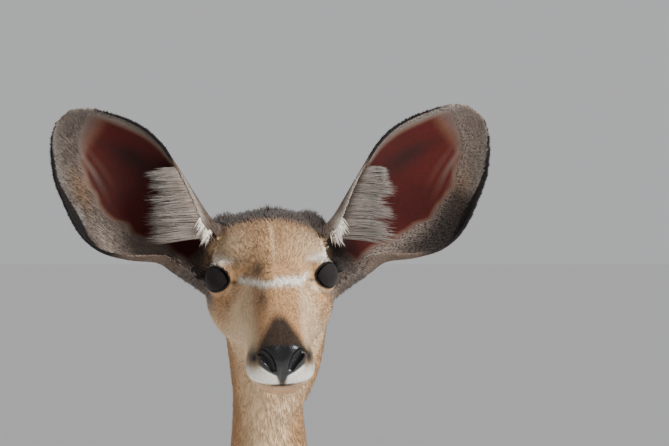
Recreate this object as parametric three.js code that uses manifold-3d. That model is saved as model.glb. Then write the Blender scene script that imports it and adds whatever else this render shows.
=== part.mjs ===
// A greater kudu cow, life size, standing alert with the head held high and turned to the viewer.
// Millimetres, +Z up. The animal faces -Y, and its left side is at +X.
import * as THREE from "three";
import { mergeVertices } from "three/addons/utils/BufferGeometryUtils.js";
import Module from "manifold-3d";

const wasm = await Module();
wasm.setup();

// Gap that two touching pieces keep.
const gap = 0.3;

// Head: the place midway between the eyes, and how the head is turned.
const eyeForward = 772;
const eyeHeight = 1546;
const headPitch = THREE.MathUtils.degToRad(29);
const headYaw = THREE.MathUtils.degToRad(3.1);
const headRoll = THREE.MathUtils.degToRad(-2);

// Eyes, in the head's own frame: half the distance between them, their radius and that of the lids.
const eyeOut = 56;
const eyeRadius = 19;
const lidRadius = 22.6;

// Directions of the left eye: its gaze, and forwards along the slit between its lids. The slit's half
// length and half height are shares of the distance from the middle of the eye.
const gazeCourse = [0.71, -0.62, 0.34];
const slitCourse = [-0.71, -0.65, 0.28];
const slitLong = 1.7;
const slitHigh = 0.9;

// Mouth, in the head's own frame: a flat cut that rises towards the nose.
const mouthDepth = 5;
const mouthOpening = 2.6;
const mouthHalfWidth = 60;
const mouthEnd = -140;
const mouthFront = -230;
const mouthHeight = -60.5;
const mouthPitch = -9;

// Ears: length from the notch to the tip, thickness of the wall, and where the notch and the tip stand
// from mid-eye. The two tips stand at different heights. A muscle carries each ear.
const earLength = 228;
const earWall = 4.5;
const earNotch = [94, 34, 26];
const earTip = [249, 70];
const earTipHeight = { left: 206, right: 194 };
const earMuscle = { centre: [45, 92, -2], radii: [32, 42, 28] };

// How far each foot is set back along the body, which leans its leg.
const strides = { front_left: -26, front_right: 14, hind_left: 22, hind_right: -24 };

// Hooves: two claws to a foot, with a flat sole. Horn begins at the coronet, which is higher in front.
const clawLength = 74;
const clawWidth = 24.5;
const cleft = 3;
const coronetHeight = 48;
const coronetRise = 0.34;
const dewclaw = { out: 10.5, height: 106, radii: [5.5, 8.5, 11], share: 0.9 };

// Planes of the thin cuts, as a normal and a distance: neck from trunk, head from neck, tail from trunk.
const withersPlane = [[0, -0.785, 0.62], 1039.6];
const pollPlane = [[0, -0.9465, 0.3229], 1088];
const tailPlaneY = 598;
const tailLow = 620;

// Rows of standing hair. A line holds points of the side view, from the head backwards. The locks' length
// goes from "from" to "to" along the line, with a swell halfway, and they lean back by "lean" radians.
const hairRows = {
  mane: { locks: 20, seed: 11, from: 40, to: 40, swell: 14, wide: 44, thick: 10, lean: 0.6 },
  crest: { locks: 13, seed: 23, from: 32, to: 18, swell: 0, wide: 48, thick: 9, lean: 0.95 },
  crown: { locks: 5, seed: 37, from: 24, to: 22, swell: 0, wide: 26, thick: 22, lean: 0.6 },
};
const hairLines = {
  mane: [
    [-604, 1570],
    [-566, 1514],
    [-520, 1446],
    [-466, 1370],
    [-402, 1288],
    [-352, 1240],
  ],
  crest: [
    [-318, 1209],
    [-215, 1203],
    [-80, 1184],
    [70, 1174],
    [200, 1179],
  ],
  crown: [
    [-702, 1616],
    [-640, 1609],
  ],
};
const hairSunk = 9;

// Brush of the tail, and fringe of each ear, whose locks reach straight outwards and are shorter towards
// the tip.
const brush = { locks: 13, from: 966, to: 726, length: 104, swell: 26, wide: 14, thick: 40 };
const brushY = 660;
const brushSeed = 41;
const fringe = { locks: 10, from: 0.04, to: 0.4, longest: 66, shortest: 32, wide: 11, thick: 3 };
const fringeSeeds = { left: 53, right: 67 };

// How finely each form is divided, along it and round it.
const fineness = {
  trunk: [24, 22],
  neck: [14, 18],
  dock: [12, 8],
  head: [30, 28],
  mouth: [14, 12],
  muscle: [10, 14],
  lids: [10, 16],
  slit: 14,
  eye: [10, 14],
  nostril: 7,
  ear: [15, 10],
  leg: [22, 12],
  claw: 12,
  dewclaw: [6, 8],
  lock: 3,
};

// Rings of the trunk. Each row holds the ring's upper (or front) point and its lower (or rear) point in the
// side view, half its width, how far up it is widest, and the roundness of its upper and lower halves.
const trunkRows = [
  [-566, 950, -562, 900, 16, 0.5, 2, 2],
  [-556, 990, -550, 858, 50, 0.5, 2, 2],
  [-536, 1036, -530, 800, 80, 0.48, 2, 2],
  [-496, 1096, -490, 736, 106, 0.46, 2, 2],
  [-425, 1170, -415, 696, 130, 0.44, 1.9, 2],
  [-330, 1212, -322, 668, 146, 0.42, 1.7, 2.1],
  [-215, 1204, -215, 662, 160, 0.42, 1.7, 2.1],
  [-80, 1184, -80, 672, 181, 0.42, 1.8, 2.2],
  [70, 1174, 70, 690, 190, 0.43, 1.9, 2.2],
  [215, 1180, 215, 720, 178, 0.46, 1.9, 2.2],
  [340, 1184, 330, 762, 168, 0.52, 1.9, 2.5],
  [450, 1164, 425, 800, 158, 0.55, 1.9, 2.6],
  [538, 1124, 512, 846, 128, 0.55, 2, 2.3],
  [588, 1078, 572, 900, 80, 0.55, 2, 2],
  [604, 1050, 598, 946, 44, 0.5, 2, 2],
  [610, 1028, 608, 980, 14, 0.5, 2, 2],
];
const neckRows = [
  [-215, 1130, -420, 850, 60, 0.5, 2, 2, 0],
  [-262, 1180, -500, 884, 92, 0.5, 1.9, 2, 0],
  [-330, 1222, -562, 962, 98, 0.46, 1.7, 2, 0],
  [-402, 1288, -604, 1075, 78, 0.42, 1.7, 2, -1],
  [-466, 1368, -630, 1195, 56, 0.42, 1.8, 2, -3],
  [-516, 1440, -646, 1292, 45, 0.44, 1.9, 2, -5],
  [-546, 1486, -655, 1350, 43.5, 0.45, 2, 2, -5],
  [-572, 1524, -662, 1394, 56, 0.46, 2, 2, 3],
  [-608, 1574, -674, 1448, 64, 0.5, 2, 2, 4],
  [-648, 1606, -704, 1482, 62, 0.5, 2, 2, 4],
];

// Rings of a leg: height, front edge, rear edge, half the width, and how far out from the midline.
const frontLegRows = [
  [1060, -420, -300, 30, 76],
  [980, -446, -264, 42, 89],
  [900, -460, -242, 49, 96],
  [820, -454, -236, 51, 101],
  [750, -428, -240, 49, 103],
  [690, -400, -252, 42, 103],
  [620, -386, -280, 35, 101],
  [540, -376, -298, 28, 99],
  [465, -369, -311, 25, 98],
  [418, -371, -312, 27.5, 98],
  [385, -370, -311, 27, 98],
  [350, -362, -314, 21, 98],
  [280, -357, -319, 17, 98],
  [200, -356, -319, 17, 98],
  [150, -358, -315, 20, 98],
  [122, -363, -311, 23.5, 98],
  [98, -370, -323, 20.5, 98],
  [72, -382, -332, 22, 98],
  [30, -402, -334, 25, 98],
];
const hindLegRows = [
  [1080, 330, 500, 30, 70],
  [1010, 284, 538, 52, 82],
  [930, 252, 566, 63, 92],
  [850, 240, 574, 64, 99],
  [780, 244, 568, 56, 102],
  [720, 270, 556, 48, 102],
  [660, 316, 546, 41, 100],
  [600, 378, 552, 33, 98],
  [540, 434, 570, 25.5, 96],
  [485, 484, 587, 25, 96],
  [450, 500, 582, 26.5, 96],
  [415, 508, 568, 23, 96],
  [350, 513, 556, 18.5, 96],
  [260, 511, 552, 17.5, 96],
  [180, 508, 550, 18.5, 96],
  [150, 504, 549, 21, 96],
  [128, 499, 549, 24, 96],
  [100, 490, 537, 20.5, 96],
  [72, 476, 526, 22, 96],
  [30, 454, 522, 25, 96],
];

// Rings of the tail's dock, in the columns of the trunk.
const tailRows = [
  [552, 1094, 568, 1010, 26, 0.5, 2, 2],
  [612, 1076, 606, 1008, 23, 0.5, 2, 2],
  [650, 1030, 630, 988, 20, 0.5, 2, 2],
  [668, 950, 640, 936, 17, 0.5, 2, 2],
  [670, 856, 648, 850, 14, 0.5, 2, 2],
  [668, 770, 650, 766, 11, 0.5, 2, 2],
  [662, 706, 650, 702, 7, 0.5, 2, 2],
];

// Rings of the head in its own frame: mid-eye at the origin, the nose towards -Y, the forehead up.
const headRows = [
  [166, -12, 160, -44, 34, 0.5, 2, 2],
  [146, 4, 142, -66, 52, 0.58, 2, 2],
  [115, 24, 110, -88, 64, 0.6, 2.1, 2.3],
  [85, 37, 82, -98, 69, 0.58, 2.3, 2.6],
  [50, 46, 50, -100, 72, 0.5, 2.4, 2.8],
  [20, 50, 20, -95, 71, 0.42, 2.3, 2.8],
  [-5, 48, -5, -88, 67, 0.36, 1.9, 2.7],
  [-30, 43, -30, -80, 60, 0.32, 1.65, 2.5],
  [-60, 38, -60, -70, 51, 0.34, 1.75, 2.3],
  [-95, 35, -95, -61, 42, 0.42, 1.9, 2.2],
  [-130, 33, -130, -56, 37.5, 0.46, 2, 2],
  [-160, 32, -160, -56, 38, 0.42, 2.1, 1.9],
  [-182, 30, -181, -55, 38, 0.42, 2.3, 1.8],
  [-196, 26, -193, -48, 35, 0.46, 2.3, 1.8],
  [-205, 20, -201, -39, 29, 0.5, 2.3, 1.9],
  [-210, 12, -206, -30, 21, 0.5, 2.1, 2],
  [-213, 3, -211, -14, 9, 0.5, 2, 2],
];

// Sections of an ear: share of the length, middle and half of the width, depth of the cup, and half the
// angle that its wall spans.
const earRows = [
  [-0.3, -3, 16, 28, 164],
  [-0.14, -8, 30, 40, 162],
  [0.0, -8, 39, 47, 152],
  [0.1, -5, 42, 50, 132],
  [0.21, 4, 55, 52, 114],
  [0.32, 10, 66, 51, 102],
  [0.42, 11, 71, 47, 94],
  [0.53, 8, 72, 41, 88],
  [0.65, 5, 67, 34, 82],
  [0.77, 5, 57, 26, 76],
  [0.88, 4, 41, 17, 70],
  [0.95, 3, 27, 10, 66],
  [0.99, 2, 12, 5, 60],
];

// Forms of muscle and bone that stand out from a loft, on both sides: place, reach along each axis, lift.
const trunkForms = [
  [112, -372, 1000, 60, 85, 120, 13],
  [84, -500, 900, 50, 45, 60, 12],
  [120, 420, 960, 60, 100, 110, 10],
  [92, 300, 1140, 45, 40, 34, 9],
  [150, 262, 900, 60, 60, 90, -10],
];
const headForms = [
  [62, 10, 32, 24, 24, 12, 5],
  [64, 22, -44, 24, 40, 24, 3],
  [54, 64, 22, 22, 26, 14, -3],
  [0, 62, 46, 14, 34, 16, 3],
  [36, 80, 38, 15, 34, 18, 4],
  [30, -166, -22, 14, 20, 14, 4],
];

// Middle points and radii of a nostril on the animal's left, from its inner end to its outer end.
const nostrilPath = [
  [8, -211, -5, 3],
  [12, -209, 5, 4.8],
  [18, -205, 12, 5.6],
  [26, -197, 15, 4],
];

// Each pair of legs: its rings, where it is cut from the trunk, where the shank begins, how far out the
// foot stands, where its hoof and its heel are along the body, and the stretch of trunk that the cut spans.
const limbs = {
  front: { rows: frontLegRows, top: 655, joint: 362, out: 98, footY: -366, heelY: -318, span: [-700, -150] },
  hind: { rows: hindLegRows, top: 712, joint: 432, out: 96, footY: 486, heelY: 542, span: [245, 800] },
};

const colours = {
  coat: 0xa58a6c,
  shank: 0xb69c7c,
  ear: 0x9a8672,
  eye: 0x0c0806,
  claw: 0x1c1917,
};

// Interpolates the columns of a table smoothly, "place" running from 0 at the first row to 1 at the last.
function between(rows, knots, place) {
  const last = rows.length - 1;
  const at = place * knots[last];
  let i = 0;
  while (i < last - 1 && at > knots[i + 1]) i += 1;
  const span = knots[i + 1] - knots[i];
  const t = (at - knots[i]) / span;
  const slope = (k, column) => {
    const before = Math.max(k - 1, 0);
    const after = Math.min(k + 1, last);
    return (rows[after][column] - rows[before][column]) / (knots[after] - knots[before]);
  };
  return rows[i].map((value, column) => {
    const rise = rows[i + 1][column] - value;
    const m0 = slope(i, column) * span;
    const m1 = slope(i + 1, column) * span;
    return value + t * (m0 + t * (3 * rise - 2 * m0 - m1 + t * (m0 + m1 - 2 * rise)));
  });
}

// Distances along a table, from the points that "middle" gives for its rows.
function knotsOf(rows, middle) {
  const knots = [0];
  for (let i = 1; i < rows.length; i += 1) {
    knots.push(knots[i - 1] + middle(rows[i]).distanceTo(middle(rows[i - 1])));
  }
  return knots;
}

const power = (value, roundness) => Math.sign(value) * Math.abs(value) ** (2 / roundness);

// One egg-shaped outline between two points of the side view.
function ringOf(row, around, out = 0) {
  const [topY, topZ, lowY, lowZ, half, widest, roundTop, roundLow] = row;
  const ring = [];
  for (let k = 0; k < around; k += 1) {
    const angle = (2 * Math.PI * k) / around;
    const up = Math.sin(angle);
    const roundness = up >= 0 ? roundTop : roundLow;
    const rise = up >= 0 ? 1 - widest : widest;
    const share = widest + rise * power(up, roundness);
    ring.push(
      new THREE.Vector3(
        out + half * power(Math.cos(angle), roundness),
        lowY + (topY - lowY) * share,
        lowZ + (topZ - lowZ) * share,
      ),
    );
  }
  return ring;
}

// Lifts a point away from its ring's middle by every form near it, and by "extra" besides.
function lifted(point, middle, forms, extra) {
  const out = point.clone().sub(middle).normalize();
  let lift = extra;
  for (const [x, y, z, reachX, reachY, reachZ, height] of forms) {
    const away =
      ((Math.abs(point.x) - x) / reachX) ** 2 +
      ((point.y - y) / reachY) ** 2 +
      ((point.z - z) / reachZ) ** 2;
    lift += height * Math.exp(-away);
  }
  return point.clone().addScaledVector(out, lift);
}

// A three.js geometry as a solid, turned to face outwards if it was wound the other way.
function solidOf(geometry) {
  const bare = geometry.clone();
  bare.deleteAttribute("normal");
  bare.deleteAttribute("uv");
  const merged = mergeVertices(bare, 1e-4);
  const vertProperties = new Float32Array(merged.getAttribute("position").array);
  const triVerts = new Uint32Array(merged.index.array);
  const made = new wasm.Manifold(new wasm.Mesh({ numProp: 3, vertProperties, triVerts }));
  if (made.volume() >= 0) return made;
  for (let i = 0; i < triVerts.length; i += 3) {
    [triVerts[i + 1], triVerts[i + 2]] = [triVerts[i + 2], triVerts[i + 1]];
  }
  return new wasm.Manifold(new wasm.Mesh({ numProp: 3, vertProperties, triVerts }));
}

// A closed body through a list of rings, with its two ends capped.
function bodyOf(rings) {
  const around = rings[0].length;
  const points = rings.flat();
  const faces = [];
  for (let i = 0; i + 1 < rings.length; i += 1) {
    for (let k = 0; k < around; k += 1) {
      const a = i * around + k;
      const b = i * around + ((k + 1) % around);
      faces.push(a, b, b + around, a, b + around, a + around);
    }
  }
  const lastRing = (rings.length - 1) * around;
  for (let k = 1; k + 1 < around; k += 1) {
    faces.push(0, k + 1, k);
    faces.push(lastRing, lastRing + k, lastRing + k + 1);
  }
  const geometry = new THREE.BufferGeometry().setFromPoints(points);
  geometry.setIndex(faces);
  return solidOf(geometry);
}

// A box between two corners.
function boxOf(low, high) {
  const sizes = high.map((value, axis) => value - low[axis]);
  const geometry = new THREE.BoxGeometry(...sizes);
  geometry.translate(...low.map((value, axis) => value + sizes[axis] / 2));
  return solidOf(geometry);
}

// A ball squashed to three radii.
function ballOf(centre, radii, [rows, around]) {
  const geometry = new THREE.SphereGeometry(1, around, rows);
  geometry.scale(...radii);
  geometry.translate(...centre);
  return solidOf(geometry);
}

// A tube along a path of points that each carry a radius.
function tubeOf(path, around) {
  const points = path.map(([x, y, z]) => new THREE.Vector3(x, y, z));
  const rings = points.map((point, i) => {
    const ahead = points[Math.min(i + 1, points.length - 1)];
    const behind = points[Math.max(i - 1, 0)];
    const along = ahead.clone().sub(behind).normalize();
    const side = new THREE.Vector3(0, 0, 1).cross(along).normalize();
    const up = new THREE.Vector3().crossVectors(along, side);
    const ring = [];
    for (let k = 0; k < around; k += 1) {
      const angle = (2 * Math.PI * k) / around;
      ring.push(
        point
          .clone()
          .addScaledVector(side, path[i][3] * Math.cos(angle))
          .addScaledVector(up, path[i][3] * Math.sin(angle)),
      );
    }
    return ring;
  });
  return bodyOf(rings);
}

const joined = (solids) => solids.reduce((sum, solid) => sum.add(solid));

// The largest closed surface of a solid, without hollows or loose scraps.
function largest(solid) {
  return solid.decompose().reduce((best, piece) => (piece.volume() > best.volume() ? piece : best));
}

// The two sides of a plane, each kept back by half the gap.
function partedBy(solid, normal, distance) {
  const ahead = solid.trimByPlane(normal, distance + gap / 2);
  const behind = solid.trimByPlane(
    normal.map((value) => -value),
    gap / 2 - distance,
  );
  return [ahead, behind];
}

// A loft through a table of side-view rings.
function loftOf(rows, [along, around], forms = [], extra = 0) {
  const middle = (row) => new THREE.Vector3(0, (row[0] + row[2]) / 2, (row[1] + row[3]) / 2);
  const knots = knotsOf(rows, middle);
  const rings = [];
  for (let i = 0; i <= along; i += 1) {
    const row = between(rows, knots, i / along);
    const centre = middle(row).setX(row[8] ?? 0);
    rings.push(ringOf(row, around, centre.x).map((point) => lifted(point, centre, forms, extra)));
  }
  return bodyOf(rings);
}

// A leg, on the side that "side" gives as 1 or -1, set forward or back by "stride" at the ground.
function legOf(rows, side, stride, [along, around]) {
  const full = rows.map(([z, front, rear, half, out]) => [front, z, rear, z, half, 0.5, 2.2, 2.2, out]);
  const knots = knotsOf(full, (row) => new THREE.Vector3(0, row[0], row[1]));
  const rings = [];
  for (let i = 0; i <= along; i += 1) {
    const row = between(full, knots, i / along);
    const lean = stride * (1 - row[1] / full[0][1]);
    rings.push(ringOf(row, around, side * row[8]).map((point) => point.setY(point.y + lean)));
  }
  return bodyOf(rings);
}

// A flat, tapered lock. It leaves its root along "heading" and bends towards "fall". "wide" is its size in
// the plane of the bend and "thick" its size across that plane.
function lockOf(root, heading, fall, length, wide, thick, curl) {
  const side = new THREE.Vector3().crossVectors(heading, fall).normalize();
  const steps = fineness.lock;
  const rings = [];
  const middle = root.clone();
  for (let i = 0; i <= steps; i += 1) {
    const t = i / steps;
    const course = heading
      .clone()
      .multiplyScalar(Math.cos(curl * t))
      .addScaledVector(fall, Math.sin(curl * t));
    if (i > 0) middle.addScaledVector(course, length / steps);
    const edge = new THREE.Vector3().crossVectors(course, side).normalize();
    const taper = [0.86, 1, 0.72, 0.1][i];
    const ring = [
      [edge, wide],
      [side, thick],
      [edge, -wide],
      [side, -thick],
    ].map(([axis, size]) => middle.clone().addScaledVector(axis, (size / 2) * taper));
    rings.push(ring);
  }
  return bodyOf(rings);
}

// A repeatable stream of numbers from 0 to 1, so that each lock varies a little.
function drawsOf(seed) {
  let state = seed;
  return () => {
    state = (state * 16807) % 2147483647;
    return state / 2147483647;
  };
}

// Locks standing in a row along a line of the side view, as a mane does.
function hairOf(name) {
  const { locks: count, seed, from, to, swell, wide, thick, lean } = hairRows[name];
  const draw = drawsOf(seed);
  const curve = new THREE.CatmullRomCurve3(hairLines[name].map(([y, z]) => new THREE.Vector3(0, y, z)));
  const locks = [];
  for (let i = 0; i < count; i += 1) {
    const place = (i + 0.2 + 0.6 * draw()) / count;
    const fall = curve.getTangentAt(place);
    const lift = new THREE.Vector3(0, -fall.z, fall.y);
    if (lift.z < 0) lift.negate();
    const root = curve.getPointAt(place).addScaledVector(lift, -hairSunk);
    root.x = (draw() - 0.5) * 4;
    const heading = lift.multiplyScalar(Math.cos(lean)).addScaledVector(fall, Math.sin(lean));
    heading.x = (draw() - 0.5) * 0.3;
    heading.normalize();
    const length = from + (to - from) * place + swell * Math.sin(Math.PI * place);
    const grown = length * (0.85 + 0.3 * draw()) + hairSunk;
    locks.push(lockOf(root, heading, fall, grown, wide, thick, 0.35 + 0.25 * draw()));
  }
  return joined(locks);
}

const headPlace = new THREE.Matrix4()
  .makeRotationFromEuler(new THREE.Euler(headPitch, headRoll, headYaw, "ZYX"))
  .setPosition(0, -eyeForward, eyeHeight);
const toHead = (solid) => solid.transform(headPlace.toArray());

// Directions of an eye: outwards along its gaze, forwards along the lids' slit, and up across the slit.
function eyeFrame(side) {
  const gaze = new THREE.Vector3(side * gazeCourse[0], gazeCourse[1], gazeCourse[2]).normalize();
  const slit = new THREE.Vector3(side * slitCourse[0], slitCourse[1], slitCourse[2]);
  slit.addScaledVector(gaze, -slit.dot(gaze)).normalize();
  const rise = new THREE.Vector3().crossVectors(gaze, slit).multiplyScalar(side);
  return { gaze, slit, rise: rise.z > 0 ? rise : rise.negate() };
}

// A ball round the middle of an eye.
function eyeball(side, radius, fine) {
  return ballOf([side * eyeOut, 0, 0], [radius, radius, radius], fine);
}

// The slit between the lids, as an almond-shaped cone from the middle of the eye.
function slitCutter(side) {
  const { gaze, slit, rise } = eyeFrame(side);
  const around = fineness.slit;
  const ringAt = (reach) => {
    const ring = [];
    for (let k = 0; k < around; k += 1) {
      const angle = (2 * Math.PI * k) / around;
      const high = Math.sin(angle) * Math.abs(Math.sin(angle)) ** 0.3 * slitHigh;
      ring.push(
        new THREE.Vector3(side * eyeOut, 0, 0)
          .addScaledVector(gaze, reach)
          .addScaledVector(slit, reach * slitLong * Math.cos(angle))
          .addScaledVector(rise, reach * high),
      );
    }
    return ring;
  };
  const cone = bodyOf([ringAt(3), ringAt(30)]);
  return cone.intersect(eyeball(side, lidRadius + 2, fineness.lids));
}

// The head's plain form, with the muscle that carries each ear.
function headForm(extra) {
  const muscles = [1, -1].map((side) => {
    const [x, y, z] = earMuscle.centre;
    const radii = earMuscle.radii.map((radius) => radius + extra);
    return ballOf([side * x, y, z], radii, fineness.muscle);
  });
  return joined([loftOf(headRows, fineness.head, headForms, extra), ...muscles]);
}

// The head, with lids round the eyes and with sockets, nostrils and the line of the mouth cut in.
function headBody() {
  let body = headForm(0);
  for (const side of [1, -1]) {
    body = body.add(eyeball(side, lidRadius, fineness.lids));
  }
  for (const side of [1, -1]) {
    const path = nostrilPath.map(([x, y, z, radius]) => [side * x, y, z, radius]);
    body = body.subtract(slitCutter(side));
    body = body.subtract(eyeball(side, eyeRadius + gap, fineness.eye));
    body = body.subtract(tubeOf(path, fineness.nostril));
  }
  const low = [-mouthHalfWidth, mouthFront, -mouthOpening / 2];
  const high = [mouthHalfWidth, mouthEnd, mouthOpening / 2];
  const mouth = boxOf(low, high).rotate([mouthPitch, 0, 0]).translate([0, 0, mouthHeight]);
  const inner = loftOf(headRows, fineness.mouth, [], -mouthDepth);
  return toHead(body.subtract(mouth.subtract(inner)));
}

// The head's plain form grown by the gap, for cutting what sits against it.
const headFit = toHead(headForm(gap + 0.1));

// An ear's own axes: along it from the notch to the tip, across it to the outer edge, and back into the cup.
function earFrame(side) {
  const tipHeight = side > 0 ? earTipHeight.left : earTipHeight.right;
  const notch = new THREE.Vector3(side * earNotch[0], earNotch[1] - eyeForward, earNotch[2] + eyeHeight);
  const tip = new THREE.Vector3(side * earTip[0], earTip[1] - eyeForward, tipHeight + eyeHeight);
  const along = tip.sub(notch).normalize();
  const across = new THREE.Vector3(side * along.z, 0, -side * along.x).normalize();
  const back = new THREE.Vector3().crossVectors(along, across).normalize();
  return { notch, along, across, back: back.y > 0 ? back : back.negate() };
}

// A point of an ear's wall. "place" is the share of the length, "turn" runs from the inner rim at -1 to the
// outer rim at 1, and "inset" is how far the point lies inside the outer face.
function earPoint(side, place, turn, inset) {
  const start = earRows[0][0];
  const knots = earRows.map((row) => row[0] - start);
  const [, middle, half, depth, spread] = between(earRows, knots, (place - start) / knots.at(-1));
  const opening = THREE.MathUtils.degToRad(spread);
  const angle = opening * turn;
  const widest = Math.sin(Math.min(opening, Math.PI / 2));
  const rimBack = Math.cos(opening);
  const { notch, along, across, back } = earFrame(side);
  const wide = (half - inset) / widest;
  const deep = (depth - inset) / (1 - rimBack);
  return notch
    .addScaledVector(along, place * earLength)
    .addScaledVector(across, middle + wide * Math.sin(angle))
    .addScaledVector(back, deep * (Math.cos(angle) - rimBack));
}

// The shell of an ear: an outer face and an inner face that meet round the rim.
function earShell(side) {
  const [steps, across] = fineness.ear;
  const start = earRows[0][0];
  const end = earRows.at(-1)[0];
  const rings = [];
  for (let i = 0; i <= steps; i += 1) {
    const place = start + (end - start) * Math.sin((i / steps) * (Math.PI / 2)) ** 0.9;
    const wall = earWall * Math.min(1, (end + 0.02 - place) * 6);
    const ring = [];
    for (let k = 0; k <= across; k += 1) {
      ring.push(earPoint(side, place, (2 * k) / across - 1, 0));
    }
    for (let k = across; k >= 0; k -= 1) {
      ring.push(earPoint(side, place, ((2 * k) / across - 1) * 0.985, wall));
    }
    rings.push(ring);
  }
  return bodyOf(rings);
}

// The long hair that reaches over the cup of an ear from its inner rim.
function earFringe(side) {
  const draw = drawsOf(side > 0 ? fringeSeeds.left : fringeSeeds.right);
  const { along, back } = earFrame(side);
  const locks = [];
  for (let i = 0; i < fringe.locks; i += 1) {
    const share = i / (fringe.locks - 1);
    const place = fringe.from + (fringe.to - fringe.from) * share + 0.02 * (draw() - 0.5);
    const root = earPoint(side, place, -0.95, earWall * 0.55);
    const heading = new THREE.Vector3(side, 0, 0.16 * (draw() - 0.5)).addScaledVector(back, 0.2).normalize();
    const fall = along.clone().multiplyScalar(-1);
    fall.addScaledVector(heading, -fall.dot(heading)).normalize();
    const reach = fringe.longest + (fringe.shortest - fringe.longest) * share;
    const length = reach * (0.88 + 0.24 * draw());
    locks.push(lockOf(root, heading, fall, length, fringe.wide, fringe.thick, 0.06 + 0.12 * draw()));
  }
  return joined(locks);
}

// One claw of a hoof. "inward" is the direction of the cleft, as 1 or -1.
function clawOf(x, y, inward) {
  const levels = [
    // Share of the height, how far back its middle is, half its length and half its width.
    [0, 0, clawLength / 2, clawWidth / 2],
    [0.16, 0.5, clawLength / 2 + 0.4, clawWidth / 2 + 0.3],
    [0.6, 7, clawLength / 2 - 5.5, clawWidth / 2 - 0.4],
    [1.25, 18, clawLength / 2 - 13, clawWidth / 2 - 1.6],
  ];
  const around = fineness.claw;
  const rings = levels.map(([share, back, long, half]) => {
    const ring = [];
    for (let k = 0; k < around; k += 1) {
      const angle = (2 * Math.PI * k) / around;
      const front = Math.max(Math.cos(angle), 0);
      const wide = half * power(Math.sin(angle), 2.6) * (1 - 0.42 * front ** 2);
      const outline = wide * inward > 0 ? wide * 0.94 : wide;
      const reach = y + back - long * power(Math.cos(angle), 2.3);
      ring.push(new THREE.Vector3(x + outline, reach, share * coronetHeight));
    }
    return ring;
  });
  return bodyOf(rings);
}

// The brush of the tail: locks that leave the dock all round, one below another, and hang.
function brushOf() {
  const draw = drawsOf(brushSeed);
  const locks = [];
  for (let i = 0; i < brush.locks; i += 1) {
    const share = i / (brush.locks - 1);
    const turn = i * 2.4;
    const out = new THREE.Vector3(Math.cos(turn), Math.sin(turn), 0);
    const height = brush.from + (brush.to - brush.from) * share;
    const root = new THREE.Vector3(0, brushY - 5 * share, height).addScaledVector(out, 2);
    const down = new THREE.Vector3(0, 0, -1);
    const heading = out.clone().multiplyScalar(0.46).addScaledVector(down, 0.88).normalize();
    const fall = down.addScaledVector(heading, -down.dot(heading)).normalize();
    const length = (brush.length + brush.swell * Math.sin(Math.PI * share)) * (0.88 + 0.24 * draw());
    locks.push(lockOf(root, heading, fall, length, brush.wide, brush.thick, 0.42));
  }
  return joined(locks);
}

const legs = {};
for (const [end, { rows }] of Object.entries(limbs)) {
  for (const side of [1, -1]) {
    const name = `${end}_${side > 0 ? "left" : "right"}`;
    legs[name] = legOf(rows, side, strides[name], fineness.leg);
  }
}
const trunk = loftOf(trunkRows, fineness.trunk, trunkForms);
const neck = loftOf(neckRows, fineness.neck);
const dock = loftOf(tailRows, fineness.dock);
const flesh = joined([trunk, neck, headBody(), dock, ...Object.values(legs)]);
const [ahead, rest] = partedBy(flesh, ...withersPlane);
const [headPart, neckPart] = partedBy(ahead, ...pollPlane);

const group = new THREE.Group();
const materials = Object.fromEntries(
  Object.entries(colours).map(([name, color]) => [
    name,
    new THREE.MeshStandardMaterial({ color, roughness: name === "eye" ? 0.1 : 0.85, metalness: 0 }),
  ]),
);

// Adds a solid to the group as one named mesh, without points that change its surface by less than this.
const simplest = 0.1;
function addNode(name, solid, material) {
  const { vertProperties, triVerts, numProp } = largest(solid.simplify(simplest)).getMesh();
  const geometry = new THREE.BufferGeometry();
  const place = new Float32Array((vertProperties.length / numProp) * 3);
  for (let i = 0; i < place.length / 3; i += 1) {
    place.set(vertProperties.subarray(i * numProp, i * numProp + 3), i * 3);
  }
  geometry.setAttribute("position", new THREE.BufferAttribute(place, 3));
  geometry.setIndex(new THREE.BufferAttribute(new Uint32Array(triVerts), 1));
  geometry.computeVertexNormals();
  const mesh = new THREE.Mesh(geometry, materials[material]);
  mesh.name = name;
  group.add(mesh);
}

addNode("head", headPart.add(hairOf("crown")), "coat");
const maned = partedBy(largest(neckPart).add(hairOf("mane")), ...pollPlane)[1];
addNode("neck", partedBy(maned, ...withersPlane)[0], "coat");

// The trunk without the tail and without the legs below their cuts.
const half = gap / 2;
const [wide, low, high] = [400, -50, 1300];
const behindTail = boxOf([-wide, tailPlaneY - half, tailLow], [wide, 900, high]);
const tailKeep = boxOf([-wide, tailPlaneY + half, tailLow], [wide, 900, high]);
let torso = rest.subtract(behindTail);
for (const { span, top } of Object.values(limbs)) {
  torso = torso.subtract(boxOf([-wide, span[0], low], [wide, span[1], top + half]));
}
addNode("torso", partedBy(largest(torso).add(hairOf("crest")), ...withersPlane)[1], "coat");
addNode("tail", largest(rest.intersect(tailKeep)).add(brushOf()), "coat");

for (const side of [1, -1]) {
  const name = side > 0 ? "left" : "right";
  const ear = largest(earShell(side).subtract(headFit));
  addNode(`ear_${name}`, ear.add(earFringe(side)), "ear");
  addNode(`eye_${name}`, toHead(eyeball(side, eyeRadius, fineness.eye)), "eye");
}

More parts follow.
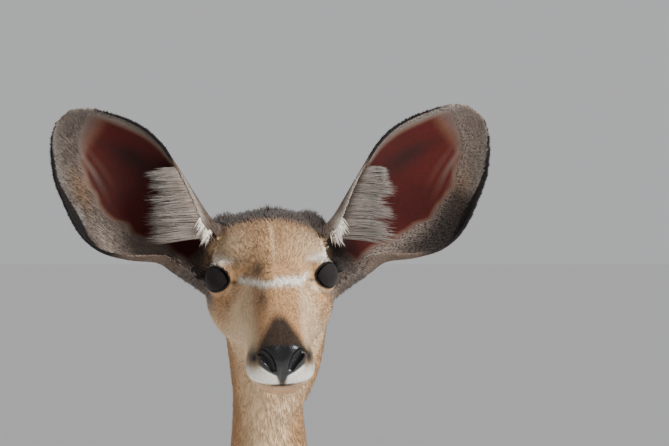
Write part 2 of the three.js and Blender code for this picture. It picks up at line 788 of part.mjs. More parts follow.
// Each leg is an upper part and a shank, with a pair of dewclaws, on two claws.
for (const [end, limb] of Object.entries(limbs)) {
  for (const side of [1, -1]) {
    const name = `${end}_${side > 0 ? "left" : "right"}`;
    const leg = legs[name].trimByPlane([0, 0, -1], half - limb.top);
    const [upper, lower] = partedBy(leg, [0, 0, 1], limb.joint);
    const out = side * limb.out;
    const footY = limb.footY + strides[name];
    const norm = Math.hypot(coronetRise, 1);
    const normal = [0, coronetRise / norm, 1 / norm];
    const coronet = [normal, (coronetHeight + coronetRise * footY) / norm];
    const [shank] = partedBy(lower, ...coronet);
    const heelY = limb.heelY + strides[name] * dewclaw.share;
    const dewclaws = [-1, 1].map((turn) =>
      ballOf([out + turn * dewclaw.out, heelY, dewclaw.height], dewclaw.radii, fineness.dewclaw),
    );
    addNode(`leg_${name}`, upper, "coat");
    addNode(`shank_${name}`, joined([shank, ...dewclaws]), "shank");
    for (const inward of [1, -1]) {
      const x = out - inward * (clawWidth / 2 + cleft / 2);
      const [, claw] = partedBy(clawOf(x, footY, inward), ...coronet);
      addNode(`claw_${name}_${inward * side < 0 ? "outer" : "inner"}`, claw, "claw");
    }
  }
}

// The animal stands on z = 0 with the middle of its box over the origin.
const box = new THREE.Box3().setFromObject(group);
const shift = box.getCenter(new THREE.Vector3()).setZ(box.min.z).negate();
for (const mesh of group.children) mesh.geometry.translate(shift.x, shift.y, shift.z);

export default group;
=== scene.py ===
# %% [markdown]
# # A greater kudu cow, life size
#
# The animal stands still, lifts its head, turns it to the viewer and spreads its ears. The packed solids
# say where everything is, and they are faceted and bare. This lesson dresses them: one skin over the whole
# body, a coat of small tufts that carries the same markings, longer hair on the neck, back, tail and ears,
# and then the eyes, the wet nose and the hooves.
#
# Tables of body sizes are written in millimetres, as such an animal is measured. `MM` turns them into
# metres at the moment a mesh is made.

# %% Load the solids
import math

import bmesh
import bpy
import numpy as np
from mathutils import Matrix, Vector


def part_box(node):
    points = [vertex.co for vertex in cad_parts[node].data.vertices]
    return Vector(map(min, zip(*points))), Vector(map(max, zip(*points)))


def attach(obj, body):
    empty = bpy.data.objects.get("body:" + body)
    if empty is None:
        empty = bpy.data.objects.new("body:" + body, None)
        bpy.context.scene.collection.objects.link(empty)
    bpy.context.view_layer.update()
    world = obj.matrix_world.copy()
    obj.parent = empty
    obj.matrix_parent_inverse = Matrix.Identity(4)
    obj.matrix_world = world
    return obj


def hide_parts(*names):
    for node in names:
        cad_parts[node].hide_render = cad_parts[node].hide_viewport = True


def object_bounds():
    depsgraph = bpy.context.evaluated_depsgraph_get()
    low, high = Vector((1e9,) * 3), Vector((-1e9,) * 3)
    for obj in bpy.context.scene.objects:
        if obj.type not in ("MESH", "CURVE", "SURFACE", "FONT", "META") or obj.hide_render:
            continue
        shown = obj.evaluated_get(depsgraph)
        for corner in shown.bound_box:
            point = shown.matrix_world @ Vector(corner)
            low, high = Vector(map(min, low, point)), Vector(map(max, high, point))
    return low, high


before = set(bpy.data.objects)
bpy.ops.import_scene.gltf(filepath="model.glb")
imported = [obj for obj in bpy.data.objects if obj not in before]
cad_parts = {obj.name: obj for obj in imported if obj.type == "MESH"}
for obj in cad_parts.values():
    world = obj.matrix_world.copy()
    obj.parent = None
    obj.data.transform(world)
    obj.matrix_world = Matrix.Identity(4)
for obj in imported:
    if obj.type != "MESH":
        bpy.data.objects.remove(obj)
cad_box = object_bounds()
MM = 0.001
print("solids:", len(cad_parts), "size:", [round(v, 3) for v in cad_box[1] - cad_box[0]])

# %% [markdown]
# ## Finding the head
#
# Every table below starts from the animal's own axes: millimetres, nose towards -Y, up +Z. The two eyes
# are round solids, so the middle between their boxes is a point that is known in both systems, and the
# difference is the shift from the tables to the scene.

# %% From the tables to the scene
EYE_FORWARD, EYE_HEIGHT, EYE_OUT = 772, 1546, 56
HEAD_PLACE = np.array([0.0, -EYE_FORWARD, EYE_HEIGHT])


def middle_of(node):
    low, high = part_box(node)
    return (np.array(low) + np.array(high)) / 2


mid_eye = (middle_of("eye_left") + middle_of("eye_right")) / 2
SHIFT = mid_eye - HEAD_PLACE * MM


def turned(axis, degrees):
    return np.array(Matrix.Rotation(math.radians(degrees), 3, axis))


HEAD_YAW, HEAD_ROLL, HEAD_PITCH = 3.1, -2, 29
HEAD_TURN = turned("Z", HEAD_YAW) @ turned("Y", HEAD_ROLL) @ turned("X", HEAD_PITCH)


def to_head(points):
    return (points - HEAD_PLACE) @ HEAD_TURN


def from_head(points):
    return points @ HEAD_TURN.T + HEAD_PLACE


def unit(vectors):
    return vectors / np.maximum(np.linalg.norm(vectors, axis=-1, keepdims=True), 1e-9)


def step(value, low, high):
    """A soft step: 0 below low, 1 above high."""
    t = np.clip((value - low) / (high - low), 0, 1)
    return t * t * (3 - 2 * t)


def spot(x, y, at_x, at_y, wide, high):
    """A soft round spot of two directions, 1 in its middle."""
    return np.exp(-(((x - at_x) / wide) ** 2) - ((y - at_y) / high) ** 2)


def hump(value, at, wide):
    """The same along one direction only."""
    return np.exp(-(((value - at) / wide) ** 2))


def within(value, low, full, fade, high):
    """1 between full and fade, with soft steps up from low and down to high."""
    return step(value, low, full) * (1 - step(value, fade, high))


print("mid-eye stands at", mid_eye.round(4))

# %% [markdown]
# ## Camera
#
# The picture was taken level with the eyes through a long lens, so the head shows almost without
# perspective. One pixel is a known length at the head, which gives the lens for any distance. The aim is
# found by stepping from the eyes to the middle of the picture in pixels.

# %% The camera
PICTURE = (669, 446)
PIXEL = 1.17 * MM
EYES_AT_PIXEL = (271.5, 277)
DISTANCE, HORIZON = 12, 400


def placed(name, data):
    """A new object, set into the scene."""
    thing = bpy.data.objects.new(name, data)
    bpy.context.scene.collection.objects.link(thing)
    return thing


camera = placed("camera", bpy.data.cameras.new("camera"))
aim = mid_eye + [
    (PICTURE[0] / 2 - EYES_AT_PIXEL[0]) * PIXEL,
    -DISTANCE,
    (EYES_AT_PIXEL[1] - PICTURE[1] / 2) * PIXEL,
]
camera.location = aim
camera.rotation_euler = (math.radians(90), 0, 0)
camera.data.lens = camera.data.sensor_width * DISTANCE / (PICTURE[0] * PIXEL)
camera.data.clip_end = HORIZON
bpy.context.scene.camera = camera
print("lens:", round(camera.data.lens), "mm")

# %% [markdown]
# ## Shader expressions
#
# Blender materials are graphs of nodes. Wiring them by hand is long, so a small class wraps an output
# socket and lets Python's own operators add the Math nodes: `1 - mask * 0.5` becomes two nodes. Colours
# don't survive a Math node, so they are blended with `mix`, and every other node comes from `node`.


# %% A wire that can be calculated with
class Wire:
    """An output socket of a node tree. Without a socket it only makes nodes."""

    def __init__(self, tree, socket=None):
        self.tree, self.socket = tree, socket

    def node(self, kind, settings=None, values=None, output=0):
        made = self.tree.nodes.new(kind)
        for key, setting in (settings or {}).items():
            setattr(made, key, setting)
        for key, value in (values or {}).items():
            if isinstance(value, Wire):
                self.tree.links.new(value.socket, made.inputs[key])
            else:
                made.inputs[key].default_value = value
        return Wire(self.tree, made.outputs[output])

    def math(self, operation, first, second=0.0, clamp=False):
        settings = {"operation": operation, "use_clamp": clamp}
        return self.node("ShaderNodeMath", settings, {0: first, 1: second})

    def __add__(self, other):
        return self.math("ADD", self, other)

    def __radd__(self, other):
        return self.math("ADD", other, self)

    def __sub__(self, other):
        return self.math("SUBTRACT", self, other)

    def __rsub__(self, other):
        return self.math("SUBTRACT", other, self)

    def __mul__(self, other):
        return self.math("MULTIPLY", self, other)

    def __rmul__(self, other):
        return self.math("MULTIPLY", other, self)

    def clamped(self):
        return self.math("ADD", self, 0.0, clamp=True)

    def mix(self, low, high):
        """The colour between low and high that this value picks."""
        # A Mix node keeps its colours in sockets 6 and 7, behind those for numbers and vectors.
        return self.node("ShaderNodeMix", {"data_type": "RGBA"}, {0: self, 6: low, 7: high}, 2)


def rgb(red, green, blue):
    """A colour as it is seen on a screen, turned into the linear light that shaders use."""
    return tuple((c / 255) ** 2.2 for c in (red, green, blue)) + (1.0,)


print("a wire knows", [name for name in vars(Wire) if name.endswith("__")][:5])

# %% [markdown]
# ## A finish and its constants
#
# Each material starts from the Principled shader. Numbers that are the same all over are set on the
# shader's own sockets. What varies over the surface is linked: colour, roughness and the bump.


# %% Making a finish
def finish(name, build, **constants):
    material = bpy.data.materials.new(name)
    material.use_nodes = True
    tree = material.node_tree
    shader = next(n for n in tree.nodes if n.type == "BSDF_PRINCIPLED")
    for key, value in constants.items():
        shader.inputs[key.replace("_", " ")].default_value = value
    for key, wire in build(Wire(tree)).items():
        tree.links.new(wire.socket, shader.inputs[key])
    print("finish:", name, len(tree.nodes), "nodes")
    return material


def bump(sheet, height, strength, distance):
    values = {"Height": height, "Strength": strength, "Distance": distance}
    return sheet.node("ShaderNodeBump", None, values)


def noise(sheet, scale, detail=2.0, where=None):
    values = {"Scale": scale, "Detail": detail}
    if where is not None:
        values["Vector"] = where
    return sheet.node("ShaderNodeTexNoise", None, values)


def place_wire(sheet):
    """The place on the object, in metres."""
    return sheet.node("ShaderNodeTexCoord", output=3)


def attribute(sheet, name):
    return sheet.node("ShaderNodeAttribute", {"attribute_name": name}, output=2)


# %% [markdown]
# ## Floor and light
#
# A still model is shown on a plain pale floor in soft light. One broad lamp stands high on the viewer's
# right, where the sun stood, a weaker one fills the other side, and a third lifts the back and rump. The
# floor is wide, because a long lens looks far across it.

# %% The studio
floor_mesh = bpy.data.meshes.new("floor")
corners = [(x * HORIZON, y * HORIZON, 0) for x, y in ((-1, -1), (1, -1), (1, 1), (-1, 1))]
floor_mesh.from_pydata(corners, [], [(0, 1, 2, 3)])
floor = placed("floor", floor_mesh)


def floor_finish(sheet):
    cloud = noise(sheet, 0.8, 3.0, place_wire(sheet))
    return {"Base Color": cloud.mix(rgb(243, 242, 240), rgb(248, 247, 246))}


floor_mesh.materials.append(finish("pale_floor", floor_finish, Roughness=0.9))

WALLS, WALLS_STRENGTH = rgb(233, 234, 236), 0.6
world = bpy.data.worlds.new("studio")
world.use_nodes = True
background = world.node_tree.nodes["Background"]
background.inputs["Color"].default_value = WALLS
background.inputs["Strength"].default_value = WALLS_STRENGTH
bpy.context.scene.world = world

AIM_ABOVE_MIDDLE = 0.35
LAMPS = {
    # Place in metres, size and power.
    "key": ((4.5, -3.6, 5.2), 3.0, 1050),
    "fill": ((-3.6, -3.2, 2.0), 3.0, 16),
    "back": ((-1.5, 3.8, 3.2), 2.5, 170),
}
for name, (where, size, power) in LAMPS.items():
    lamp = placed(name, bpy.data.lights.new(name, "AREA"))
    lamp.data.size, lamp.data.energy = size, power
    lamp.location = where
    towards = lamp.location - (cad_box[0] + cad_box[1]) / 2
    towards.z -= AIM_ABOVE_MIDDLE
    lamp.rotation_euler = towards.to_track_quat("Z", "Y").to_euler()
print("lamps:", list(LAMPS))

# %% [markdown]
# ## Rings of the body
#
# A body is lofted: rings are set along it and a skin is drawn over them. Each row holds the ring's upper
# and lower point in the side view, half its width, how far up it is widest and how round its two halves
# are. A row of the neck ends with how far the ring stands off the midline, because the head is turned.
# These are the sizes that the solids have, read here with far more rings, so that the skin is smooth.

# %% Tables of the trunk, neck, tail and head
TRUNK = [
    [-566, 950, -562, 900, 16, 0.5, 2, 2],
    [-556, 990, -550, 858, 50, 0.5, 2, 2],
    [-536, 1036, -530, 800, 80, 0.48, 2, 2],
    [-496, 1096, -490, 736, 106, 0.46, 2, 2],
    [-425, 1170, -415, 696, 130, 0.44, 1.9, 2],
    [-330, 1212, -322, 668, 146, 0.42, 1.7, 2.1],
    [-215, 1204, -215, 662, 160, 0.42, 1.7, 2.1],
    [-80, 1184, -80, 672, 181, 0.42, 1.8, 2.2],
    [70, 1174, 70, 690, 190, 0.43, 1.9, 2.2],
    [215, 1180, 215, 720, 178, 0.46, 1.9, 2.2],
    [340, 1184, 330, 762, 168, 0.52, 1.9, 2.5],
    [450, 1164, 425, 800, 158, 0.55, 1.9, 2.6],
    [538, 1124, 512, 846, 128, 0.55, 2, 2.3],
    [588, 1078, 572, 900, 80, 0.55, 2, 2],
    [604, 1050, 598, 946, 44, 0.5, 2, 2],
    [610, 1028, 608, 980, 14, 0.5, 2, 2],
]
NECK = [
    [-215, 1130, -420, 850, 60, 0.5, 2, 2, 0],
    [-262, 1180, -500, 884, 92, 0.5, 1.9, 2, 0],
    [-330, 1222, -562, 962, 98, 0.46, 1.7, 2, 0],
    [-402, 1288, -604, 1075, 78, 0.42, 1.7, 2, -1],
    [-466, 1368, -630, 1195, 56, 0.42, 1.8, 2, -3],
    [-516, 1440, -646, 1292, 45, 0.44, 1.9, 2, -5],
    [-546, 1486, -655, 1350, 43.5, 0.45, 2, 2, -5],
    [-572, 1524, -662, 1394, 56, 0.46, 2, 2, 3],
    [-608, 1574, -674, 1448, 64, 0.5, 2, 2, 4],
    [-648, 1606, -704, 1482, 62, 0.5, 2, 2, 4],
]
DOCK = [
    [552, 1094, 568, 1010, 26, 0.5, 2, 2],
    [612, 1076, 606, 1008, 23, 0.5, 2, 2],
    [650, 1030, 630, 988, 20, 0.5, 2, 2],
    [668, 950, 640, 936, 17, 0.5, 2, 2],
    [670, 856, 648, 850, 14, 0.5, 2, 2],
    [668, 770, 650, 766, 11, 0.5, 2, 2],
    [662, 706, 650, 702, 7, 0.5, 2, 2],
]
HEAD = [
    [166, -12, 160, -44, 34, 0.5, 2, 2],
    [146, 4, 142, -66, 52, 0.58, 2, 2],
    [115, 24, 110, -88, 64, 0.6, 2.1, 2.3],
    [85, 37, 82, -98, 69, 0.58, 2.3, 2.6],
    [50, 46, 50, -100, 72, 0.5, 2.4, 2.8],
    [20, 50, 20, -95, 71, 0.42, 2.3, 2.8],
    [-5, 48, -5, -88, 67, 0.36, 1.9, 2.7],
    [-30, 43, -30, -80, 60, 0.32, 1.65, 2.5],
    [-60, 38, -60, -70, 51, 0.34, 1.75, 2.3],
    [-95, 35, -95, -61, 42, 0.42, 1.9, 2.2],
    [-130, 33, -130, -56, 37.5, 0.46, 2, 2],
    [-160, 32, -160, -56, 38, 0.42, 2.1, 1.9],
    [-182, 30, -181, -55, 38, 0.42, 2.3, 1.8],
    [-196, 26, -193, -48, 35, 0.46, 2.3, 1.8],
    [-205, 20, -201, -39, 29, 0.5, 2.3, 1.9],
    [-210, 12, -206, -30, 21, 0.5, 2.1, 2],
    [-213, 3, -211, -14, 9, 0.5, 2, 2],
]

# %% Tables of the legs, as height, front edge, rear edge, half width and distance from the midline
FORELEG = [
    [1060, -420, -300, 30, 76],
    [980, -446, -264, 42, 89],
    [900, -460, -242, 49, 96],
    [820, -454, -236, 51, 101],
    [750, -428, -240, 49, 103],
    [690, -400, -252, 42, 103],
    [620, -386, -280, 35, 101],
    [540, -376, -298, 28, 99],
    [465, -369, -311, 25, 98],
    [418, -371, -312, 27.5, 98],
    [385, -370, -311, 27, 98],
    [350, -362, -314, 21, 98],
    [280, -357, -319, 17, 98],
    [200, -356, -319, 17, 98],
    [150, -358, -315, 20, 98],
    [122, -363, -311, 23.5, 98],
    [98, -370, -323, 20.5, 98],
    [72, -382, -332, 22, 98],
    [30, -402, -334, 25, 98],
]
HINDLEG = [
    [1080, 330, 500, 30, 70],
    [1010, 284, 538, 52, 82],
    [930, 252, 566, 63, 92],
    [850, 240, 574, 64, 99],
    [780, 244, 568, 56, 102],
    [720, 270, 556, 48, 102],
    [660, 316, 546, 41, 100],
    [600, 378, 552, 33, 98],
    [540, 434, 570, 25.5, 96],
    [485, 484, 587, 25, 96],
    [450, 500, 582, 26.5, 96],
    [415, 508, 568, 23, 96],
    [350, 513, 556, 18.5, 96],
    [260, 511, 552, 17.5, 96],
    [180, 508, 550, 18.5, 96],
    [150, 504, 549, 21, 96],
    [128, 499, 549, 24, 96],
    [100, 490, 537, 20.5, 96],
    [72, 476, 526, 22, 96],
    [30, 454, 522, 25, 96],
]
# How far each foot stands forward (-) or back (+) of the place in the tables.
STRIDES = {"front_left": -26, "front_right": 14, "hind_left": 22, "hind_right": -24}
SIDES = ((1, "left"), (-1, "right"))
print("rings:", len(TRUNK) + len(NECK) + len(DOCK) + len(HEAD), "and", len(FORELEG) + len(HINDLEG))

# %% [markdown]
# ## Reading a table smoothly
#
# Between two rows the sizes follow a cubic curve whose slopes come from the rows around them, so that no
# ring shows as an edge. NumPy does this for all rings at once.


# %% Interpolation and rings
def knots_of(rows):
    """Distances along a table, measured between the middles of its rings in the side view."""
    rows = np.array(rows, float)
    middles = (rows[:, 0:2] + rows[:, 2:4]) / 2
    return np.append(0, np.cumsum(np.linalg.norm(np.diff(middles, axis=0), axis=1)))


def between(rows, knots, at):
    rows, at = np.array(rows, float), np.asarray(at, float)
    last = len(rows) - 1
    i = np.clip(np.searchsorted(knots, at) - 1, 0, last - 1)
    span = (knots[i + 1] - knots[i])[:, None]
    t = (at - knots[i])[:, None] / span
    before, after = np.maximum(np.arange(last + 1) - 1, 0), np.minimum(np.arange(last + 1) + 1, last)
    slopes = (rows[after] - rows[before]) / (knots[after] - knots[before])[:, None]
    rise, start, end = rows[i + 1] - rows[i], slopes[i] * span, slopes[i + 1] * span
    return rows[i] + t * (start + t * (3 * rise - 2 * start - end + t * (start + end - 2 * rise)))


def powered(value, roundness):
    return np.sign(value) * np.abs(value) ** (2 / roundness)


def rings_of(rows, around):
    """Egg-shaped outlines, one for each row, with their middles."""
    top_y, top_z, low_y, low_z, half, widest, round_top, round_low = rows.T[:8, :, None]
    out = rows[:, 8][:, None] if rows.shape[1] > 8 else 0 * half
    angle = 2 * np.pi * np.arange(around)[None, :] / around
    up = np.sin(angle)
    roundness = np.where(up >= 0, round_top, round_low)
    share = widest + np.where(up >= 0, 1 - widest, widest) * powered(up, roundness)
    x = out + half * powered(np.cos(angle), roundness)
    y = low_y + (top_y - low_y) * share
    z = low_z + (top_z - low_z) * share
    middle = np.stack([out, (top_y + low_y) / 2, (top_z + low_z) / 2], -1)
    return np.stack([x, y, z], -1), middle


def lifted(points, outward, forms, extra=0.0):
    """Raises points by every muscle or bone near them. A form stands on both sides of the midline."""
    lift = np.full(points.shape[:-1], float(extra))
    for x, y, z, reach_x, reach_y, reach_z, height in forms:
        away = ((np.abs(points[..., 0]) - x) / reach_x) ** 2
        away = away + ((points[..., 1] - y) / reach_y) ** 2 + ((points[..., 2] - z) / reach_z) ** 2
        lift += height * np.exp(-away)
    return points + outward * lift[..., None]


def closed(rings):
    """Points and faces of a body through rings, with its two ends capped."""
    count, around, _ = rings.shape
    index = np.arange(count * around).reshape(count, around)
    after = np.roll(index, -1, axis=1)
    sides = np.stack([index[:-1], after[:-1], after[1:], index[1:]], -1).reshape(-1, 4)
    return rings.reshape(-1, 3), sides.tolist() + [index[0, ::-1].tolist(), index[-1].tolist()]


def loft(rows, along, around, forms=(), extra=0.0, start=0.0):
    knots = knots_of(rows)
    rings, middle = rings_of(between(rows, knots, np.linspace(start, 1, along) * knots[-1]), around)
    return closed(lifted(rings, unit(rings - middle), forms, extra))


print("a trunk ring at the heart:", between(TRUNK, knots_of(TRUNK), [300]).round().tolist())

# %% [markdown]
# ## The skin lies under the hair
#
# The solids end where the hair ends. The skin therefore lies a little inside them: by the depth of the
# coat on the body, and by much less on the face and the shanks, where the hair is short.

# %% Plain bodies of the animal, as points and faces
COAT = {"body": 3.5, "neck": 3.0, "leg": 2.0, "head": 1.5, "ear": 0.7}
LEG_RINGS, LEG_AROUND, LEG_ROUNDNESS = 170, 32, 2.2
TRUNK_FORMS = [
    # Shoulder, breast, thigh, hip bone, and the hollow of the flank.
    [112, -372, 1000, 60, 85, 120, 13],
    [84, -500, 900, 50, 45, 60, 12],
    [120, 420, 960, 60, 100, 110, 10],
    [92, 300, 1140, 45, 40, 34, 9],
    [150, 262, 900, 60, 60, 90, -10],
]
HEAD_FORMS = [
    # Brow, cheek, temple, crown, the crown's two corners and nostril wing.
    [62, 10, 32, 24, 24, 12, 5],
    [64, 22, -44, 24, 40, 24, 3],
    [54, 64, 22, 22, 26, 14, -3],
    [0, 62, 46, 14, 34, 16, 3],
    [36, 80, 38, 15, 34, 18, 4],
    [30, -166, -22, 14, 20, 14, 4],
]


def leg_body(rows, side, stride):
    """A leg from its table. Its foot is set forwards or back by the stride, and its top stays."""
    roundness = [LEG_ROUNDNESS, LEG_ROUNDNESS]
    rows = [[front, z, rear, z, half, 0.5, *roundness, side * out] for z, front, rear, half, out in rows]
    knots = knots_of(rows)
    smooth = between(rows, knots, np.linspace(0, 1, LEG_RINGS) * knots[-1])
    rings, middle = rings_of(smooth, LEG_AROUND)
    for points in (rings, middle):
        points[..., 1] += stride * (1 - points[..., 2] / rows[0][1])
    return closed(lifted(rings, unit(rings - middle), (), -COAT["leg"]))


def ball(centre, radii, around=40, rows=24):
    """A squashed ball as closed rings from pole to pole."""
    rise = np.linspace(-np.pi / 2, np.pi / 2, rows + 1)[1:-1, None]
    turn = 2 * np.pi * np.arange(around)[None, :] / around
    shell = [np.cos(rise) * np.cos(turn), np.cos(rise) * np.sin(turn), np.sin(rise) + 0 * turn]
    return closed(np.stack(shell, -1) * np.array(radii, float) + np.array(centre, float))


LEGS = {"front": FORELEG, "hind": HINDLEG}
body_parts = [
    loft(TRUNK, along=240, around=110, forms=TRUNK_FORMS, extra=-COAT["body"]),
    loft(NECK, along=150, around=80, extra=-COAT["neck"]),
    loft(DOCK, along=110, around=40, extra=-COAT["leg"]),
]
for end, rows in LEGS.items():
    for side, name in SIDES:
        body_parts.append(leg_body(rows, side, STRIDES[f"{end}_{name}"]))
print("plain bodies:", len(body_parts))

# %% [markdown]
# ## Ears
#
# An ear is a leaf of gristle rolled into a cup. It is measured in its own axes: how far along it, how far
# round the cup from the inner rim to the outer one, and how deep in the wall. The same three numbers later
# say where its colours lie, so the conversion is written both ways.

# %% The shape of an ear
EAR_LENGTH, EAR_WALL, EAR_RINGS, EAR_AROUND = 228, 4.5, 150, 90
# From the middle of the eyes to the notch at the foot of an ear and to its tip. One ear is held higher.
EAR_NOTCH, EAR_TIP = (94, 34, 26), (249, 70)
EAR_TIP_HEIGHT = {1: 206, -1: 194}
EAR_ROWS = [
    # Share of the length, middle and half of the width, depth of the cup, half the angle it spans.
    [-0.3, -3, 16, 28, 164],
    [-0.14, -8, 30, 40, 162],
    [0.0, -8, 39, 47, 152],
    [0.1, -5, 42, 50, 132],
    [0.21, 4, 55, 52, 114],
    [0.32, 10, 66, 51, 102],
    [0.42, 11, 71, 47, 94],
    [0.53, 8, 72, 41, 88],
    [0.65, 5, 67, 34, 82],
    [0.77, 5, 57, 26, 76],
    [0.88, 4, 41, 17, 70],
    [0.95, 3, 27, 10, 66],
    [0.99, 2, 12, 5, 60],
]
EAR_KNOTS = np.array([row[0] - EAR_ROWS[0][0] for row in EAR_ROWS])


def ear_axes(side):
    notch = HEAD_PLACE + [side * EAR_NOTCH[0], EAR_NOTCH[1], EAR_NOTCH[2]]
    tip = HEAD_PLACE + [side * EAR_TIP[0], EAR_TIP[1], EAR_TIP_HEIGHT[side]]
    along = unit(tip - notch)
    across = unit(np.array([side * along[2], 0, -side * along[0]]))
    back = np.cross(along, across)
    return notch, along, across, back * np.sign(back[1])


def ear_section(place, inset):
    """Middle, width and depth of the cup, and its opening angle, at places along the ear."""
    _, middle, half, depth, spread = between(EAR_ROWS, EAR_KNOTS, place - EAR_ROWS[0][0]).T
    opening = np.radians(spread)
    wide = (half - inset) / np.sin(np.minimum(opening, np.pi / 2))
    deep = (depth - inset) / (1 - np.cos(opening))
    return middle, wide, deep, opening


def ear_point(side, place, turn, inset):
    """Points of an ear's wall. turn runs from the inner rim at -1 to the outer rim at 1."""
    notch, along, across, back = ear_axes(side)
    middle, wide, deep, opening = ear_section(place, inset)
    angle = opening * turn
    point = notch + along * (place * EAR_LENGTH)[:, None]
    point = point + across * (middle + wide * np.sin(angle))[:, None]
    return point + back * (deep * (np.cos(angle) - np.cos(opening)))[:, None]


def to_ear(side, points):
    """Place along the ear, turn round its cup and depth below its outer face, of any points."""
    notch, along, across, back = ear_axes(side)
    rel = points - notch
    place = rel @ along / EAR_LENGTH
    middle, wide, deep, opening = ear_section(np.clip(place, -0.3, 0.99), 0.0)
    sine, cosine = (rel @ across - middle) / wide, rel @ back / deep + np.cos(opening)
    turn = np.arctan2(sine, cosine) / opening
    return place, turn, (1 - np.hypot(sine, cosine)) * wide


def ear_body(side):
    """The cup as a closed body. Its rings stand closer and its wall gets thinner towards the tip."""
    start, end = EAR_ROWS[0][0], EAR_ROWS[-1][0]
    turn, rings = np.linspace(-1, 1, EAR_AROUND), []
    for share in np.linspace(0, 1, EAR_RINGS):
        place = start + (end - start) * math.sin(share * math.pi / 2) ** 0.9
        wall = max(EAR_WALL * min(1, (end + 0.02 - place) * 6) - COAT["ear"] / 2, COAT["ear"] + 2.9)
        where = np.full(EAR_AROUND, place)
        outer = ear_point(side, where, turn, COAT["ear"])
        inner = ear_point(side, where, turn[::-1] * 0.985, wall)
        rings.append(np.concatenate([outer, inner]))
    return closed(np.array(rings))


print("ear axes, left:", ear_axes(1)[1].round(2), "right:", ear_axes(-1)[1].round(2))

# %% [markdown]
# ## One skin
#
# Overlapping bodies have to become one surface. A boolean union would leave hard creases, and sculpting by
# hand can't be repeated. A voxel remesh wraps all of them in one even net, and then the creases are
# filled: a point that lies lower than its neighbours rises towards them, and no other point moves, so that
# thin legs don't shrink. The head needs a much finer net than the trunk, so two nets are made and joined
# inside the neck later.


# %% Meshes in and out of NumPy
def new_piece(name, bodies):
    """One object from a list of points and faces in millimetres."""
    points, faces, first = [], [], 0
    for body_points, body_faces in bodies:
        points.append(np.asarray(body_points) * MM + SHIFT)
        faces += [[v + first for v in face] for face in body_faces]
        first += len(body_points)
    mesh = bpy.data.meshes.new(name)
    mesh.from_pydata(np.concatenate(points).tolist(), [], faces)
    shape = bmesh.new()
    shape.from_mesh(mesh)
    bmesh.ops.recalc_face_normals(shape, faces=shape.faces)
    shape.to_mesh(mesh)
    shape.free()
    return placed(name, mesh)


def applied(piece):
    """Turns a piece's modifiers into its mesh."""
    graph = bpy.context.evaluated_depsgraph_get()
    shaped = bpy.data.meshes.new_from_object(piece.evaluated_get(graph))
    plain = piece.data
    piece.modifiers.clear()
    piece.data = shaped
    bpy.data.meshes.remove(plain)
    return piece


def read(collection, key, width, kind=np.float32):
    values = np.empty(len(collection) * width, kind)
    collection.foreach_get(key, values)
    return values.reshape(-1, width) if width > 1 else values


def points_of(piece):
    return (read(piece.data.vertices, "co", 3).astype(float) - SHIFT) / MM


def move_points(piece, points):
    piece.data.vertices.foreach_set("co", (points * MM + SHIFT).astype(np.float32).ravel())
    piece.data.update()


def normals_of(piece):
    return read(piece.data.vertex_normals, "vector", 3).astype(float)


def mean_of_neighbours(points, edges):
    total, degree = np.zeros_like(points), np.bincount(edges.ravel(), minlength=len(points))
    for axis in range(3):
        for a, b in ((0, 1), (1, 0)):
            total[:, axis] += np.bincount(edges[:, a], points[edges[:, b], axis], len(points))
    return total / np.maximum(degree, 1)[:, None]


def smoothed(piece, rounds, rise_only=False, share=None):
    """Relaxes a net. With rise_only a point moves only outwards, which fills creases."""
    edges = read(piece.data.edges, "vertices", 2, np.int32)
    points = points_of(piece)
    for _ in range(rounds):
        move = (mean_of_neighbours(points, edges) - points) * 0.5
        if rise_only:
            normals = normals_of(piece)
            move = normals * np.maximum((move * normals).sum(1), 0)[:, None]
        points = points + (move if share is None else move * share[:, None])
        move_points(piece, points)


def wrapped(name, bodies, voxel):
    piece = new_piece(name, bodies)
    wrap = piece.modifiers.new("wrap", "REMESH")
    wrap.mode, wrap.voxel_size, wrap.use_smooth_shade = "VOXEL", voxel * MM, True
    applied(piece)
    print(name, "has", len(piece.data.polygons), "faces")
    return piece


# %% The net of the body
BODY_VOXEL = 5.5
body = wrapped("body", body_parts, BODY_VOXEL)
smoothed(body, rounds=3)
smoothed(body, rounds=26, rise_only=True)

# %% [markdown]
# ## Muscle, bone and tendon
#
# The lofts give the large masses. Smaller forms are raised or sunk on the finished net by soft bumps:
# shoulder blade, elbow, ribs, flank, stifle, the grooves of the neck and the tendons of the shanks. A row
# says where the form lies, how far it reaches in each direction and how high it is, or how deep.

# %% Forms of the body
RIB_GAP, RIB_SLANT, RIB_HEIGHT = 44, 0.25, 1.1
BODY_DETAIL = [
    # Shoulder blade, the hollow behind it, elbow, flank, stifle, thigh, groove of the neck, breast bone,
    # groove of the hind tendon and of the fore one, hollow before the hock's tendon, and seat bone.
    [100, -345, 1100, 26, 34, 90, 5],
    [150, -232, 960, 50, 34, 130, -7],
    [118, -250, 760, 30, 24, 30, 6],
    [120, 225, 1105, 50, 50, 34, -8],
    [120, 262, 800, 34, 28, 44, 6],
    [130, 400, 880, 40, 60, 70, 4],
    [46, -540, 1130, 16, 60, 130, -5],
    [0, -548, 880, 26, 26, 54, 5],
    [118, 532, 300, 10, 6, 110, -2.2],
    [118, -338, 260, 10, 6, 90, -2.2],
    [112, 560, 600, 16, 12, 60, -4],
    [60, 560, 1060, 30, 30, 40, 4],
]
points = points_of(body)
normals = normals_of(body)
rib_wave = np.sin((points[:, 1] + RIB_SLANT * (points[:, 2] - 900)) * 2 * np.pi / RIB_GAP)
rib_share = within(points[:, 1], -190, -60, 210, 330) * within(points[:, 2], 730, 800, 1010, 1110)
shaped = lifted(points, normals, BODY_DETAIL) + normals * (rib_wave * rib_share * RIB_HEIGHT)[:, None]
move_points(body, shaped)
print("body forms:", len(BODY_DETAIL))

